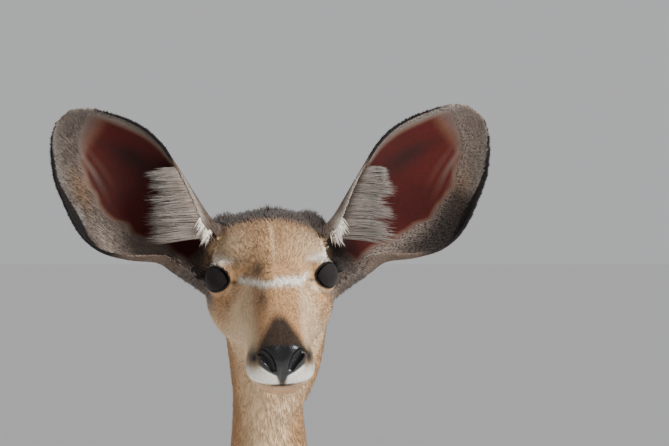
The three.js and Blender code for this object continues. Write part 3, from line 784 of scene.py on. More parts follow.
# %% [markdown]
# ## The head
#
# The head is built from its own rings, with the muscle that carries each ear, the two ears and a round
# lid over each eye. The net is fine enough for the folds of the lids and lips.

# %% The net of the head
EYE_RADIUS, LID_RADIUS = 19, 22.6
EAR_MUSCLE, EAR_MUSCLE_RADII = (45, 92, -2), (32, 42, 28)
HEAD_VOXEL, NECK_START = 1.75, 0.5


def in_head(body_of_points):
    points, faces = body_of_points
    return from_head(points), faces


head_parts = [
    in_head(loft(HEAD, along=150, around=120, forms=HEAD_FORMS, extra=-COAT["head"])),
    loft(NECK, along=90, around=90, extra=-COAT["neck"] + 0.6, start=NECK_START),
]
for side in (1, -1):
    lids = [LID_RADIUS - 0.3, LID_RADIUS - 0.3, LID_RADIUS - 1.3]
    muscle = np.array(EAR_MUSCLE_RADII) - COAT["head"]
    head_parts.append(in_head(ball((side * EYE_OUT, 0, 0), lids)))
    head_parts.append(in_head(ball((side * EAR_MUSCLE[0], *EAR_MUSCLE[1:]), muscle)))
    head_parts.append(ear_body(side))

head = wrapped("head_skin", head_parts, HEAD_VOXEL)
smoothed(head, rounds=2)

# %% Filling the creases of the head, but not the cup of the ears and little below their base
points = points_of(head)
local = to_head(points)
sharp = 0.6 * step(np.abs(local[:, 0]), 60, 78) * step(local[:, 1], 0, 24) * step(-local[:, 2], -20, 0)
for side in (1, -1):
    place, turn, depth = to_ear(side, points)
    in_cup = (np.abs(turn) < 1.05) & (depth > -6) & (depth < 14)
    sharp = np.maximum(sharp, 0.97 * step(place, 0.02, 0.1) * in_cup)
smoothed(head, rounds=34, rise_only=True, share=1 - sharp)

# %% [markdown]
# ## The face
#
# Small forms make the face: the ridge of the brow, the groove down the forehead, the edges of the nasal
# bone, the cheekbone with a hollow under it, the wings of the nostrils, the lips, the chin and the groove
# below the nose. They are given in the head's own axes, on both sides at once. The closed mouth is a fine
# groove between the lips.

# %% Forms of the face
MOUTH_HEIGHT, MOUTH_RISE, MOUTH_DEPTH = -60.5, 0.158, 2.0


def above_mouth(local):
    """Height above the line between the lips, which rises towards the nose."""
    return local[:, 2] - MOUTH_HEIGHT + MOUTH_RISE * local[:, 1]


FACE_DETAIL = [
    # Groove of the forehead and the swellings beside it, brow, dip before the eye, edge of the nasal bone
    # and the flat between its edges, cheekbone, hollow under it, and the muscle of the jaw.
    [0, 12, 50, 4.5, 42, 20, -1.3],
    [14, 16, 50, 10, 34, 18, 0.8],
    [60, -2, 28, 18, 12, 8, 1.6],
    [36, -24, 22, 9, 13, 9, -1.8],
    [23, -95, 27, 7, 40, 9, 1.2],
    [0, -100, 35, 9, 44, 10, -0.8],
    [60, -26, -22, 16, 44, 8, 2.4],
    [46, -88, -22, 18, 34, 15, -2.6],
    [64, 48, -58, 26, 40, 30, 3],
    # Nostril's wing and upper edge, dip between the nostrils, upper lip, groove below the nose, lower lip
    # with the chin, and corner of the mouth.
    [27, -197, 7, 8, 10, 11, 2.2],
    [17, -203, 23, 9, 9, 6, 1.6],
    [0, -208, 15, 7, 8, 7, -1.2],
    [26, -184, -24, 13, 18, 9, 2.2],
    [0, -212, -16, 2.2, 9, 13, -2.2],
    [14, -194, -44, 12, 12, 8, 1.6],
    [40, -150, -36, 12, 14, 8, 1.2],
]
points, normals = to_head(points_of(head)), normals_of(head) @ HEAD_TURN
groove = hump(above_mouth(points), 0, 1.7) * step(-points[:, 1], 146, 160)
shaped = lifted(points, normals, FACE_DETAIL) - normals * (MOUTH_DEPTH * groove)[:, None]
move_points(head, from_head(shaped))
print("face forms:", len(FACE_DETAIL), "points in the line of the mouth:", int((groove > 0.5).sum()))

# %% [markdown]
# ## Openings
#
# The slit between the lids, the eye's socket and the nostrils are cut with boolean tools. The slit is an
# almond-shaped cone from the middle of the eye, so that its edge runs evenly round the round lid.

# %% Cutting tools
SLIT_LONG, SLIT_HIGH, SLIT_REACH, SOCKET_GAP = 1.7, 0.9, 25.5, 0.25
GAZE, SLIT_COURSE = (0.71, -0.62, 0.34), (-0.71, -0.65, 0.28)
NOSTRIL_PATH = [
    # Middle and radius, from the inner end to the outer end.
    [9, -212, -6, 3.2],
    [13, -210, 3, 5.8],
    [18, -206, 10, 7.0],
    [25, -200, 13.5, 5.0],
    [30, -196, 9, 2],
]


def eye_axes(side):
    """Directions of an eye in the head's axes: its gaze, forwards along the slit, and up across it."""
    gaze = unit(np.array([side * GAZE[0], *GAZE[1:]]))
    slit = np.array([side * SLIT_COURSE[0], *SLIT_COURSE[1:]])
    slit = unit(slit - gaze * (slit @ gaze))
    rise = np.cross(gaze, slit)
    return gaze, slit, rise * np.sign(rise[2])


def slit_tool(side):
    """A cone with an almond-shaped outline, whose far end is rounded like the lid."""
    gaze, slit, rise = eye_axes(side)
    angle = 2 * np.pi * np.arange(48) / 48
    long = SLIT_LONG * np.cos(angle)
    high = SLIT_HIGH * np.sin(angle) * np.abs(np.sin(angle)) ** 0.3
    cone = gaze + slit * long[:, None] + rise * high[:, None]
    reach = np.array([3, 12, SLIT_REACH])[:, None, None]
    beyond = np.linalg.norm(cone * reach, axis=-1, keepdims=True) / SLIT_REACH
    rounded = cone * reach / np.maximum(1, beyond)
    return closed(rounded + [side * EYE_OUT, 0, 0])


def tube(path, around=16):
    """A bent tube through points that end with its radius there."""
    path = np.array(path, float)
    knots = np.append(0, np.cumsum(np.linalg.norm(np.diff(path[:, :3], axis=0), axis=1)))
    path = between(path, knots, np.linspace(0, knots[-1], 20))
    along = unit(np.gradient(path[:, :3], axis=0))
    side = unit(np.cross([0, 0, 1], along))
    up = np.cross(along, side)
    angle = 2 * np.pi * np.arange(around) / around
    ring = side[:, None] * np.cos(angle)[None, :, None] + up[:, None] * np.sin(angle)[None, :, None]
    return closed(path[:, None, :3] + ring * path[:, None, 3:4])


def cut(piece, tools):
    for number, tool in enumerate(tools):
        cutter = new_piece(f"tool_{number}", [tool])
        change = piece.modifiers.new("cut", "BOOLEAN")
        change.operation, change.solver, change.object = "DIFFERENCE", "MANIFOLD", cutter
        before = len(piece.data.vertices)
        applied(piece)
        bpy.data.meshes.remove(cutter.data)
        print("cut", number, ":", before, "to", len(piece.data.vertices), "points")


# %% Cutting the head open where it is open
tools = []
for side in (1, -1):
    tools.append(in_head(slit_tool(side)))
    tools.append(in_head(ball((side * EYE_OUT, 0, 0), (EYE_RADIUS + SOCKET_GAP,) * 3)))
    tools.append(in_head(tube([[side * x, y, z, r] for x, y, z, r in NOSTRIL_PATH])))
cut(head, tools)

# %% [markdown]
# ## Joining the two nets
#
# Both nets are cut square to the neck, a few millimetres apart, and the two rims are bridged. The rims
# have different numbers of points, which the bridge turns into triangles. A little smoothing hides the
# change from fine to coarse.

# %% Cutting and bridging the neck
JOIN_PLACE, JOIN_AXIS = np.array([0, -556, 1273.0]), unit(np.array([0, -0.7257, 0.688]))
JOIN_HALF_GAP = 3


def kept(piece, direction):
    """Cuts a piece at the neck and keeps what lies along the direction."""
    shape = bmesh.new()
    shape.from_mesh(piece.data)
    normal = JOIN_AXIS * direction
    place = (JOIN_PLACE + normal * JOIN_HALF_GAP) * MM + SHIFT
    everything = shape.verts[:] + shape.edges[:] + shape.faces[:]
    bmesh.ops.bisect_plane(shape, geom=everything, plane_co=place, plane_no=normal, clear_inner=True)
    shape.to_mesh(piece.data)
    shape.free()


kept(head, 1)
kept(body, -1)
shape = bmesh.new()
shape.from_mesh(body.data)
shape.from_mesh(head.data)
bpy.data.meshes.remove(head.data)
open_rims = [e for e in shape.edges if e.is_boundary]
from_join = [((np.array(e.verts[0].co) - SHIFT) / MM - JOIN_PLACE) @ JOIN_AXIS for e in open_rims]
rim = [e for e, far in zip(open_rims, from_join) if abs(far) < 2 * JOIN_HALF_GAP]
bmesh.ops.bridge_loops(shape, edges=rim)
bmesh.ops.triangulate(shape, faces=[f for f in shape.faces if len(f.verts) > 4])
skin_mesh = bpy.data.meshes.new("skin")
shape.to_mesh(skin_mesh)
open_edges = sum(e.is_boundary for e in shape.edges)
shape.free()
bpy.data.meshes.remove(body.data)
skin = placed("skin", skin_mesh)
skin_mesh.shade_smooth()
from_join = np.abs((points_of(skin) - JOIN_PLACE) @ JOIN_AXIS)
smoothed(skin, rounds=6, share=1 - step(from_join, 4, 16))
print("skin:", len(skin_mesh.polygons), "faces,", open_edges, "open edges")

# %% [markdown]
# ## Feet
#
# The shanks run down into the hooves. Below the coronet, where horn takes over from skin, the skin is
# drawn in towards the middle of the foot, so that it hides inside the two claws.

# %% Drawing the skin into the hooves
CORONET_HEIGHT, CORONET_SLOPE, FOOT_REACH = 48, -0.34, 90
DRAWN_IN, CLEFT_DEPTH = 0.34, 3.5
FOOT_OUT = {"front": 98, "hind": 96}
FOOT_FORWARD = {"front": -366, "hind": 486}
feet = []
for end in LEGS:
    for side, name in SIDES:
        foot = f"{end}_{name}"
        feet.append((end, foot, side * FOOT_OUT[end], FOOT_FORWARD[end] + STRIDES[foot]))


def at_foot(points, x, y):
    """Which points belong to the foot that stands at x and y."""
    return (np.hypot(points[:, 0] - x, points[:, 1] - y) < FOOT_REACH) & (points[:, 2] < FOOT_REACH)


def above_coronet(points, foot_y):
    """Height above the slanted line where the hoof begins."""
    return points[:, 2] - CORONET_HEIGHT - CORONET_SLOPE * (points[:, 1] - foot_y)


points = points_of(skin)
for _, _, x, y in feet:
    near = at_foot(points, x, y)
    sunk = (1 - step(above_coronet(points, y), -4, 1)) * near
    middle = np.array([x, y + 6])
    points[:, :2] += (middle - points[:, :2]) * (DRAWN_IN * sunk)[:, None]
    cleft = spot(points[:, 0], points[:, 2], x, 50, 4, 34) * near * (points[:, 1] < y)
    points[:, 1] += CLEFT_DEPTH * cleft
move_points(skin, points)
print("feet:", len(feet))

# %% [markdown]
# ## Regions
#
# The coat's length, its lie and its markings differ from part to part. Each point of the skin is put into
# one region, by the same planes and heights that part the solids.

# %% Which part of the body a point belongs to
REGIONS = ("trunk", "neck", "head", "ear_left", "ear_right", "foreleg", "hindleg", "dock")
ON_TRUNK, ON_NECK, ON_HEAD, ON_LEFT_EAR, ON_RIGHT_EAR, ON_FORELEG, ON_HINDLEG, ON_DOCK = range(8)
EARS = ((1, ON_LEFT_EAR), (-1, ON_RIGHT_EAR))
# Neck and head begin at slanted planes, each given by its direction and how far along that it stands.
WITHERS, POLL = (np.array([0, -0.785, 0.62]), 1039.6), (np.array([0, -0.9465, 0.3229]), 1088)
ELBOW, STIFLE, STIFLE_FRONT, DOCK_START, DOCK_LOW, EARS_LOW = 655, 712, 245, 598, 620, 1470


def regions_of(points):
    y, z = points[:, 1], points[:, 2]
    region = np.full(len(points), ON_TRUNK)
    region[points @ WITHERS[0] > WITHERS[1]] = ON_NECK
    region[points @ POLL[0] > POLL[1]] = ON_HEAD
    region[(y > DOCK_START) & (z > DOCK_LOW)] = ON_DOCK
    region[(z < ELBOW) & (y < 0)] = ON_FORELEG
    region[(z < STIFLE) & (y > STIFLE_FRONT)] = ON_HINDLEG
    for side, ear in EARS:
        place, turn, depth = to_ear(side, points)
        inside = (place > -0.02) & (place < 1.06) & (np.abs(turn) < 1.12) & (depth > -3) & (depth < 9)
        region[inside & (z > EARS_LOW)] = ear
    return region


skin_points, skin_normals = points_of(skin), normals_of(skin)
skin_region = regions_of(skin_points)
print({name: int((skin_region == k).sum()) for k, name in enumerate(REGIONS)})

# %% [markdown]
# ## Markings
#
# The markings are masks from 0 to 1: pale hair, dark hair, grey hair, the rust-red skin in the ear, the
# lighter tan of cheek and belly, and the bare wet nose. In a few places the pale, grey and dark masks also
# carry painted light and painted shade. They are written as places on the animal, so skin and tufts can
# read the same function. On the face two numbers say where a point lies: how far it is from the midline
# and how far above the eyes it shows when the head is held as here.

# %% Markings of the face
MARKS = ("pale", "dark", "grey", "rust", "light", "bare")


def layer(marks, name, mask, strength=1.0):
    """Lays a mask over those of its own kind."""
    marks[name] = np.maximum(marks[name], np.clip(mask, 0, 1) * strength)


def fade(marks, name, mask):
    """Takes one kind of mask back where something else covers it."""
    marks[name] = marks[name] * (1 - mask)


def eye_distance(local, side):
    """Distance from the eye, and how far out a point lies from the slit, 1 being its edge."""
    gaze, slit, rise = eye_axes(side)
    rel = local - [side * EYE_OUT, 0, 0]
    ahead = np.maximum(rel @ gaze, 1.0)
    across, high = rel @ slit, rel @ rise
    edge = np.hypot(across / (SLIT_LONG * ahead), high / (SLIT_HIGH * ahead))
    return np.linalg.norm(rel, axis=1), edge, across, high


def front_height(local):
    """Height over the eyes as it is seen from the front, with the head held down."""
    pitch = math.radians(HEAD_PITCH)
    return math.sin(pitch) * local[:, 1] + math.cos(pitch) * local[:, 2]


def face_marks(marks, points):
    local = to_head(points)
    x, y, z = local.T
    out, up = np.abs(x), front_height(local)
    top = step(z, 2, 14)

    # The dark cap behind the dome of the forehead, and the lighter tan of cheeks, jaw and upper brow.
    dome = np.hypot((x + 3) / 78, (up - 22) / 47)
    band = step(y, -12, 22) * step(dome, 0.9, 1.04) * step(z, -70, -25)
    layer(marks, "grey", band)
    layer(marks, "dark", band * (0.5 + 0.16 * spot(x, y, 0, 90, 40, 40)))
    layer(marks, "light", step(-y, 20, 70) * step(out, 20, 34) + step(-z, 30, 70))
    layer(marks, "light", spot(out, up, 50, 38, 26, 18) * top, 0.75)
    # A pale strip down the forehead, between two browner halves.
    groove = hump(x, 2, 2.2) * within(up, 14, 26, 54, 66) * top
    layer(marks, "light", groove, 0.8)
    brown = top * step(up, -6, 14) * (1 - step(out, 46, 66)) * (1 - groove)
    layer(marks, "dark", brown, 0.15)

    # The white chevron between the eyes. Its two arms differ in course, and its edge is broken by the hair.
    # Its arm on the animal's right is painted greyer and less white, as painted shade.
    left = -8 + 5 * step(-x, 14, 34)
    right = -5.5 + 13 * step(x, 31, 46)
    share = step(x, -6, 2)
    line = left + (right - left) * share + 0.9 * np.sin(x * 0.8) + 0.6 * np.sin(x * 1.9)
    thick = 4.4 + 0.6 * share - 1.2 * spot(x, up, -4, -6, 6, 20)
    reach = (1 - step(x, 44, 52)) * (1 - step(-x, 36, 44))
    chevron = hump(up, line, thick) * reach * top * step(-y, 14, 26)
    layer(marks, "grey", chevron * (1 - share), 0.7)
    layer(marks, "pale", chevron * (0.66 + 0.3 * share))
    # White brows, painted dimmer on the animal's right as painted shade.
    brow = spot(out, up, 68, 22, 11, 9) + 0.7 * spot(out, up, 51, 21, 9, 4)
    layer(marks, "pale", brow * step(z, 0, 8) * (0.85 + 0.15 * np.sign(x)))

    # Round each eye: a paler lower lid, the black rim of the lids, the tear line and the outer corner. The
    # lower lid is painted much less pale on the animal's right, as painted shade.
    for side in (1, -1):
        distance, edge, across, high = eye_distance(local, side)
        near = 1 - step(distance, 30, 38)
        layer(marks, "pale", spot(edge, high, 1.75, -14, 0.32, 12) * near, 0.2 + 0.12 * side)
        layer(marks, "dark", (1 - step(edge, 1.1, 1.3)) * near)
        layer(marks, "dark", spot(across, high, 24, -3, 6, 2.4) * near, 0.8)
        layer(marks, "dark", spot(across, high, -22, 6, 10, 6) * near)

    # The dark bridge of the nose widens downwards. Three spots are dark too, and the hollows at the feet
    # of the ears are painted grey and dark as painted shade.
    wedge = 3 + np.clip(-38 - up, 0, 44) * 0.62
    bridge = (1 - step(out, wedge - 6, wedge + 6)) * within(-up, 33, 52, 98, 106)
    layer(marks, "dark", bridge * step(z, -34, -20), 0.93)
    hollow = spot(out, up, 82, 34, 11, 24) * step(y, 0, 20)
    layer(marks, "grey", hollow)
    layer(marks, "dark", hollow, 0.45)
    layer(marks, "dark", spot(x, up, -18, 9, 8, 13) * (1 - 0.6 * chevron) * top, 0.72)
    layer(marks, "dark", spot(x, up, 3, 20, 7, 8) * top, 0.3)
    layer(marks, "dark", spot(x, up, -17, -24, 7, 16) * top, 0.72)

    # White upper lip, a little white on the lower one, dark wings of the nostrils, line of the mouth.
    height = above_mouth(local)
    muzzle = step(-y, 140, 160)
    lip = np.maximum(step(-up, 97, 104), 1 - step(height, 10, 17))
    layer(marks, "pale", step(height, -1, 2) * lip * muzzle * step(out, 2, 7))
    layer(marks, "pale", within(height, -12, -6, -1, 1) * muzzle, 0.12)
    wing = spot(out, up, 32, -91, 9, 14) * step(-y, 150, 170)
    layer(marks, "dark", wing)
    fade(marks, "pale", wing)
    mouth = hump(height, 0, 2.0) * step(-y, 150, 165)
    layer(marks, "dark", mouth * (1 - 0.6 * step(out, 8, 18)))

    # The bare nose: half its width at distances below the eyes.
    half = np.interp(-up, [76, 79, 84, 91, 99, 104, 109, 113, 124], [15, 21, 26, 28, 26, 22, 15, 7, 2])
    pad = (1 - step(out, half - 1.5, half + 1.5)) * within(-up, 76, 79, 124, 127)
    layer(marks, "bare", pad * step(-y, 168, 176))


# %% [markdown]
# ## Markings of the ears
#
# The inside of the ear glows dark rust-red where the hair is thin, up to a wavy edge. A grey margin
# surrounds it, with a warm patch halfway out, and the rim is a black line that opens at the tip and widens
# on the outer side. The animal's left ear has a dark lower margin, its right one only a short dark stretch.
# The back of the ear is grey-brown, and a white tuft grows at its foot.

# %% Painting an ear by its own measures
# How far round the cup the rust-red reaches, at places along the ear.
CORE_PLACE = [0.0, 0.24, 0.37, 0.49, 0.62, 0.76, 0.85, 0.9, 0.95]
CORE_TURN = [0.22, 0.21, 0.24, 0.34, 0.37, 0.30, 0.08, -0.35, -1.2]


def ear_marks(marks, points, side):
    place, turn, depth = to_ear(side, points)
    inner = step(depth, 1.6, 3.0)
    wave = 0.02 * np.sin(place * 31 + side) + 0.01 * np.sin(place * 57 + 2)

    # The rust-red core, with grey rays through its outer end and a maroon streak.
    edge = np.interp(place, CORE_PLACE, CORE_TURN) + wave
    soft = 0.07 + 0.2 * step(place, 0.62, 0.86)
    near_rim = step(-turn, 0.74 - 0.1 * step(place, 0.5, 0.8), 0.93) * step(place, 0.25, 0.5)
    core = (1 - step(turn, edge - soft, edge + soft)) * (1 - near_rim) * step(place, -0.02, 0.04)
    core *= 1 - 0.9 * step(place + 0.05 * turn, 0.76, 0.95)
    rays = 0.5 + 0.5 * np.sin(turn * 44 + place * 9)
    streak = spot(place, turn, 0.74, 0.24, 0.12, 0.16) * rays
    along_streak = (place - 0.5) * 0.67 - 0.43
    maroon = hump(turn, along_streak, 0.13) * hump(place, 0.6, 0.16)
    layer(marks, "grey", step(streak, 0.0, 0.2) * core * inner)
    layer(marks, "rust", core * (1 - 0.55 * streak) * inner)
    layer(marks, "dark", maroon * core * inner, 0.66)
    # Painted shade deep in the foot of the cup, weaker on the right ear.
    layer(marks, "dark", spot(place, turn, 0.0, -0.1, 0.08, 0.3) * inner, 0.8 if side > 0 else 0.45)

    # The grey margin, its warm patch, and a shadow where core and margin meet.
    margin = inner * (1 - core)
    layer(marks, "grey", inner * step(1 - core, 0.0, 0.4), 0.95)
    layer(marks, "pale", margin * (0.05 + 0.18 * step(np.abs(turn), 0.5, 0.9) * step(place, 0.5, 0.8)))
    pink = spot(place, turn, 0.66, 0.5, 0.1, 0.15) * inner
    fade(marks, "grey", (0.3 if side > 0 else 0.8) * pink)
    layer(marks, "rust", pink, 0.22)
    layer(marks, "pale", spot(place, turn, 0.56, 0.72, 0.05, 0.08) * margin, 0.5)
    layer(marks, "rust", spot(place, turn, 0.93, 0.02, 0.035, 0.22) * margin, 0.35)
    shadow = hump(turn - edge, 0.08, 0.05) * within(place, 0.16, 0.26, 0.4, 0.5)
    layer(marks, "dark", shadow * margin, 0.2)
    layer(marks, "dark", margin * step(place, 0.36, 0.6), 0.38 if side > 0 else 0.56)
    if side > 0:
        patch = step(turn, 0.16, 0.5) * within(place, 0.1, 0.3, 0.58, 0.76) * (1 - core)
        fade(marks, "pale", patch)
    else:
        patch = step(turn, 0.6, 0.85) * within(place, 0.3, 0.42, 0.5, 0.6)
        # Painted light: a pale spot low on the outer margin lifts it out of the shade that the head casts
        # there.
        layer(marks, "pale", spot(place, turn, 0.12, 0.75, 0.12, 0.25) * margin, 0.4)
    layer(marks, "dark", patch * inner, 0.85)

    # The back of the ear, darker at its foot and edges, with a pale strip on the inner edge.
    outside = 1 - inner
    layer(marks, "grey", outside, 0.85)
    layer(marks, "dark", outside * step(np.abs(turn), 0.6, 0.95), 0.3)
    layer(marks, "dark", outside * (1 - step(place, 0.04, 0.22)), 0.45)
    strip = step(-turn, 0.86, 0.97) * within(place, 0.05, 0.12, 0.3, 0.4)
    layer(marks, "pale", outside * strip, 0.4)
    # The black rim: narrow on the inner side, wide on the outer one, open at the tip.
    wide = np.where(turn > 0, 0.1 + 0.15 * hump(place, 0.54, 0.14), 0.035)
    rim = step(np.abs(turn), 0.97 - wide, 0.995 - wide)
    closed_rim = np.where(turn > 0, step(place, 0.18, 0.3), step(place, 0.36, 0.46))
    line = rim * closed_rim * (1 - step(place, 0.88, 0.94) * (turn < 0.5))
    layer(marks, "dark", line)
    fade(marks, "pale", line)
    layer(marks, "pale", rim * step(place, 0.9, 0.96) * (turn < 0.5), 0.5)


# %% The white tuft at the foot of each ear
def notch_marks(marks, points):
    local = to_head(points)
    behind = within(local[:, 1], 0, 20, 70, 90)
    tuft = spot(np.abs(local[:, 0]), front_height(local), 87, 54, 8, 15) * behind
    layer(marks, "pale", tuft)
    fade(marks, "dark", tuft)


# %% [markdown]
# ## Markings of the body
#
# Thin white stripes run down the flanks from a pale line along the back. The coat is darker on the ridge
# of the neck and paler inside the legs. The upper part of each foreleg has a dark garter, the pasterns are
# dark behind and pale in front, and the tail is white below with a black tip.

# %% Stripes, garters and tail
STRIPES, FIRST_STRIPE, STRIPE_GAP, STRIPE_WIDTH = 8, -232, 88, 5.5
GARTER_HEIGHT, TAIL_BLACK, TAIL_WHITE = 500, (716, 772), (740, 800)


def body_marks(marks, points, normals):
    x, y, z = points.T
    out = np.abs(x)
    on_trunk = step(points @ WITHERS[0], WITHERS[1] + 30, WITHERS[1] - 30)
    # Stripes wander a little and end at different heights, and a pale line runs along the back.
    for number in range(STRIPES):
        wander = 7 * np.sin(z / 70 + number * 1.7) + 5 * np.sin(z / 31 + number * 2.9)
        at = FIRST_STRIPE + STRIPE_GAP * number + wander + 0.10 * (1170 - z)
        end = 800 + 46 * math.sin(number * 2.3)
        shape = hump(y, at, STRIPE_WIDTH) * step(z, end, end + 80) * step(z, 1260, 1190)
        layer(marks, "pale", shape * on_trunk * step(out, 6, 16), 0.85)
    back = (1 - step(out, 3, 9)) * step(normals[:, 2], 0.5, 0.9) * step(y, -240, -180)
    layer(marks, "pale", back * step(z, 1060, 1110), 0.7)

    # Light belly and throat, a dark ridge and greyer sides of the neck.
    layer(marks, "light", step(-normals[:, 2], 0.25, 0.8) * step(z, 560, 640), 0.9)
    neck = (points @ WITHERS[0] > WITHERS[1] - 60) * (z < 1560)
    ridge = step(normals[:, 1] + 0.4 * normals[:, 2], 0.55, 0.95) * (1 - step(out, 12, 34))
    layer(marks, "dark", ridge * neck, 0.7)
    layer(marks, "grey", neck * step(out, 20, 60) * step(normals[:, 1], -0.5, 0.3), 0.55)
    layer(marks, "light", neck * step(-normals[:, 1], 0.3, 0.9), 0.9)

    # Legs: garters, light inner sides, pasterns dark behind and pale in front.
    inside = step(-np.sign(x) * normals[:, 0], 0.1, 0.7)
    fore = (y < 0) & (z < 700)
    garter = spot(z, y, GARTER_HEIGHT, -335, 46, 90) * fore * (0.35 + 0.65 * inside)
    layer(marks, "dark", garter, 0.75)
    layer(marks, "light", inside * step(z, 520, 600) * (z < 900), 0.8)
    low = 1 - step(z, 118, 150)
    rear = step(normals[:, 1], -0.2, 0.5)
    layer(marks, "dark", low * rear, 0.75)
    layer(marks, "pale", low * (1 - rear) * hump(z, 92, 26), 0.8)

    # Tail: black at the end, white below and at the sides.
    tail = (y > DOCK_START) & (z > 600)
    layer(marks, "dark", tail * (1 - step(z, *TAIL_BLACK)))
    underside = step(-normals[:, 1] + 0.6 * np.abs(normals[:, 0]), 0.2, 0.7)
    layer(marks, "pale", tail * step(z, *TAIL_WHITE) * underside, 0.9)


def marks_of(points, normals, region):
    """All masks of any points, as one array with a column for each mask."""
    marks = {name: np.zeros(len(points)) for name in MARKS}
    head_and_ears = (region >= ON_HEAD) & (region <= ON_RIGHT_EAR)
    for chosen, painter, *more in (
        (region == ON_HEAD, face_marks),
        (region == ON_LEFT_EAR, ear_marks, 1),
        (region == ON_RIGHT_EAR, ear_marks, -1),
        (~head_and_ears, body_marks, normals[~head_and_ears]),
        (head_and_ears, notch_marks),
    ):
        part = {name: marks[name][chosen] for name in MARKS}
        painter(part, points[chosen], *more)
        for name in MARKS:
            marks[name][chosen] = part[name]
    return np.stack([marks[name] for name in MARKS], -1)


def store(piece, name, values):
    """Gives each point of a mesh a number that its finish can read."""
    numbers = piece.data.attributes.new(name, "FLOAT", "POINT")
    numbers.data.foreach_set("value", values.astype(np.float32).ravel())


def paint(piece, marks, shade):
    """Stores the masks, and a shade of its own, for each point of a mesh."""
    for name, values in zip((*MARKS, "shade"), (*marks.T, shade)):
        store(piece, name, values)


skin_marks = marks_of(skin_points, skin_normals, skin_region)
paint(skin, skin_marks, np.full(len(skin_points), 0.5))
print({name: round(float(values.mean()), 3) for name, values in zip(MARKS, skin_marks.T)})

# %% [markdown]
# ## The finish of the coat
#
# One finish serves skin and tufts. It starts from tan hair that varies with broad and fine noise, lays the
# masks over it in turn, and lets each tuft be a little lighter or darker than its neighbour. Hair is dull,
# while the bare nose is wet, so the mask of the nose also lowers the roughness and adds a clear coat.


# %% Hair and skin colours
def coat_finish(sheet):
    """Tan hair under the masks, each tuft with a tone of its own, and a pored wet nose."""
    where = place_wire(sheet)
    broad, fine = noise(sheet, 7.0, 3.0, where), noise(sheet, 260.0, 3.0, where)
    shade = attribute(sheet, "shade")
    mask = {name: attribute(sheet, name) for name in MARKS}
    tan = (broad * 1.6 - 0.3).clamped().mix(rgb(148, 108, 72), rgb(182, 142, 101))
    tan = (mask["light"] * 0.8).mix(tan, rgb(210, 182, 146))
    colour = mask["grey"].mix(tan, rgb(112, 99, 91))
    rust = (broad * 1.8 + fine * 0.6 - 0.7).clamped().mix(rgb(40, 8, 5), rgb(76, 20, 12))
    colour = mask["rust"].mix(colour, rust)
    colour = mask["pale"].mix(colour, rgb(232, 226, 214))
    colour = mask["dark"].mix(colour, rgb(21, 15, 13))
    tone = (shade * 0.75 + fine * 0.5 - 0.12).clamped()
    colour = tone.mix(multiplied(sheet, colour, 0.66), multiplied(sheet, colour, 1.2))
    colour = mask["bare"].mix(colour, rgb(8, 8, 10))
    grain = noise(sheet, 900.0, 2.0, where)
    pores = sheet.node("ShaderNodeTexVoronoi", None, {"Scale": 620.0, "Vector": where})
    height = mask["bare"] * (pores - grain) + grain
    return {
        "Base Color": colour,
        "Roughness": 0.82 - mask["bare"] * 0.46 + (fine - 0.5) * 0.1,
        "Coat Weight": mask["bare"] * 0.32,
        "Normal": bump(sheet, height, 0.35, 0.0012),
    }


def multiplied(sheet, colour, factor):
    """A colour made darker or lighter."""
    values = {0: colour, 1: (factor,) * 3}
    return sheet.node("ShaderNodeVectorMath", {"operation": "MULTIPLY"}, values)


coat = finish("coat", coat_finish, Sheen_Weight=0.04, Sheen_Roughness=0.5, Coat_Roughness=0.16, IOR=1.32)
skin_mesh.materials.clear()
skin_mesh.materials.append(coat)

# %% [markdown]
# ## The lie of the coat
#
# Hair lies flat and points along the body: down the nose and back over the crown from a whorl between the
# eyes, down the neck, backwards over the trunk, down the legs and out to the rim of the ears. A direction
# is given for every place, and then laid into the surface.


# %% Directions of the hair
def lie_of(points, normals, region):
    """Which way hair points at any place, as a direction within the skin."""
    y, z = points[:, 1], points[:, 2]
    # Backwards on the trunk, and steeper down on the flanks, the rump and the breast.
    flow = np.zeros_like(points)
    flow[:] = (0, 1, -0.3)
    flow[:, 2] -= 1.4 * step(np.abs(normals[:, 0]), 0.3, 0.9) * step(z, 1000, 780)
    flow[:, 2] -= 1.6 * step(y, 380, 560) + 1.0 * step(-y, 320, 460)
    flow[region == ON_NECK] = (0, 0.5, -0.86)
    legs = (region == ON_FORELEG) | (region == ON_HINDLEG)
    flow[legs] = (0, 0.12, -1)
    flow[region == ON_DOCK] = (0, 0.1, -1)

    # On the head: down the nose, back over the crown, and across the cheeks between them.
    local, facing = to_head(points), normals @ HEAD_TURN
    head_side = np.sign(local[:, 0])
    down = step(-local[:, 1], 30, 80) * step(facing[:, 2], -0.2, 0.5)
    crown = step(local[:, 1], -60, -20) * step(facing[:, 2], 0.0, 0.6)
    cheek = np.clip(1 - down - crown, 0, 1)
    outwards = head_side * (0.25 * down + 0.2 * crown)
    on_head = np.stack([outwards, crown - down + 0.7 * cheek, -0.6 * cheek], -1)
    flow[region == ON_HEAD] = (on_head @ HEAD_TURN.T)[region == ON_HEAD]

    for ear_side, ear in EARS:
        chosen = region == ear
        if chosen.any():
            _, along, across, _ = ear_axes(ear_side)
            _, turn, _ = to_ear(ear_side, points[chosen])
            flow[chosen] = along + across * (0.9 * turn)[:, None]
    flow = flow - normals * (flow * normals).sum(1)[:, None]
    return unit(flow)


# %% [markdown]
# ## A map for each coat piece
#
# Colours that are worked out by shaders can be baked into an image when the model leaves Blender. Each
# tuft then needs its own small patch of the image. The patch sits where the tuft's root lies on an unwrap
# of the skin: the trunk, neck, head, legs and tail are unrolled like tubes, the ears are laid flat.


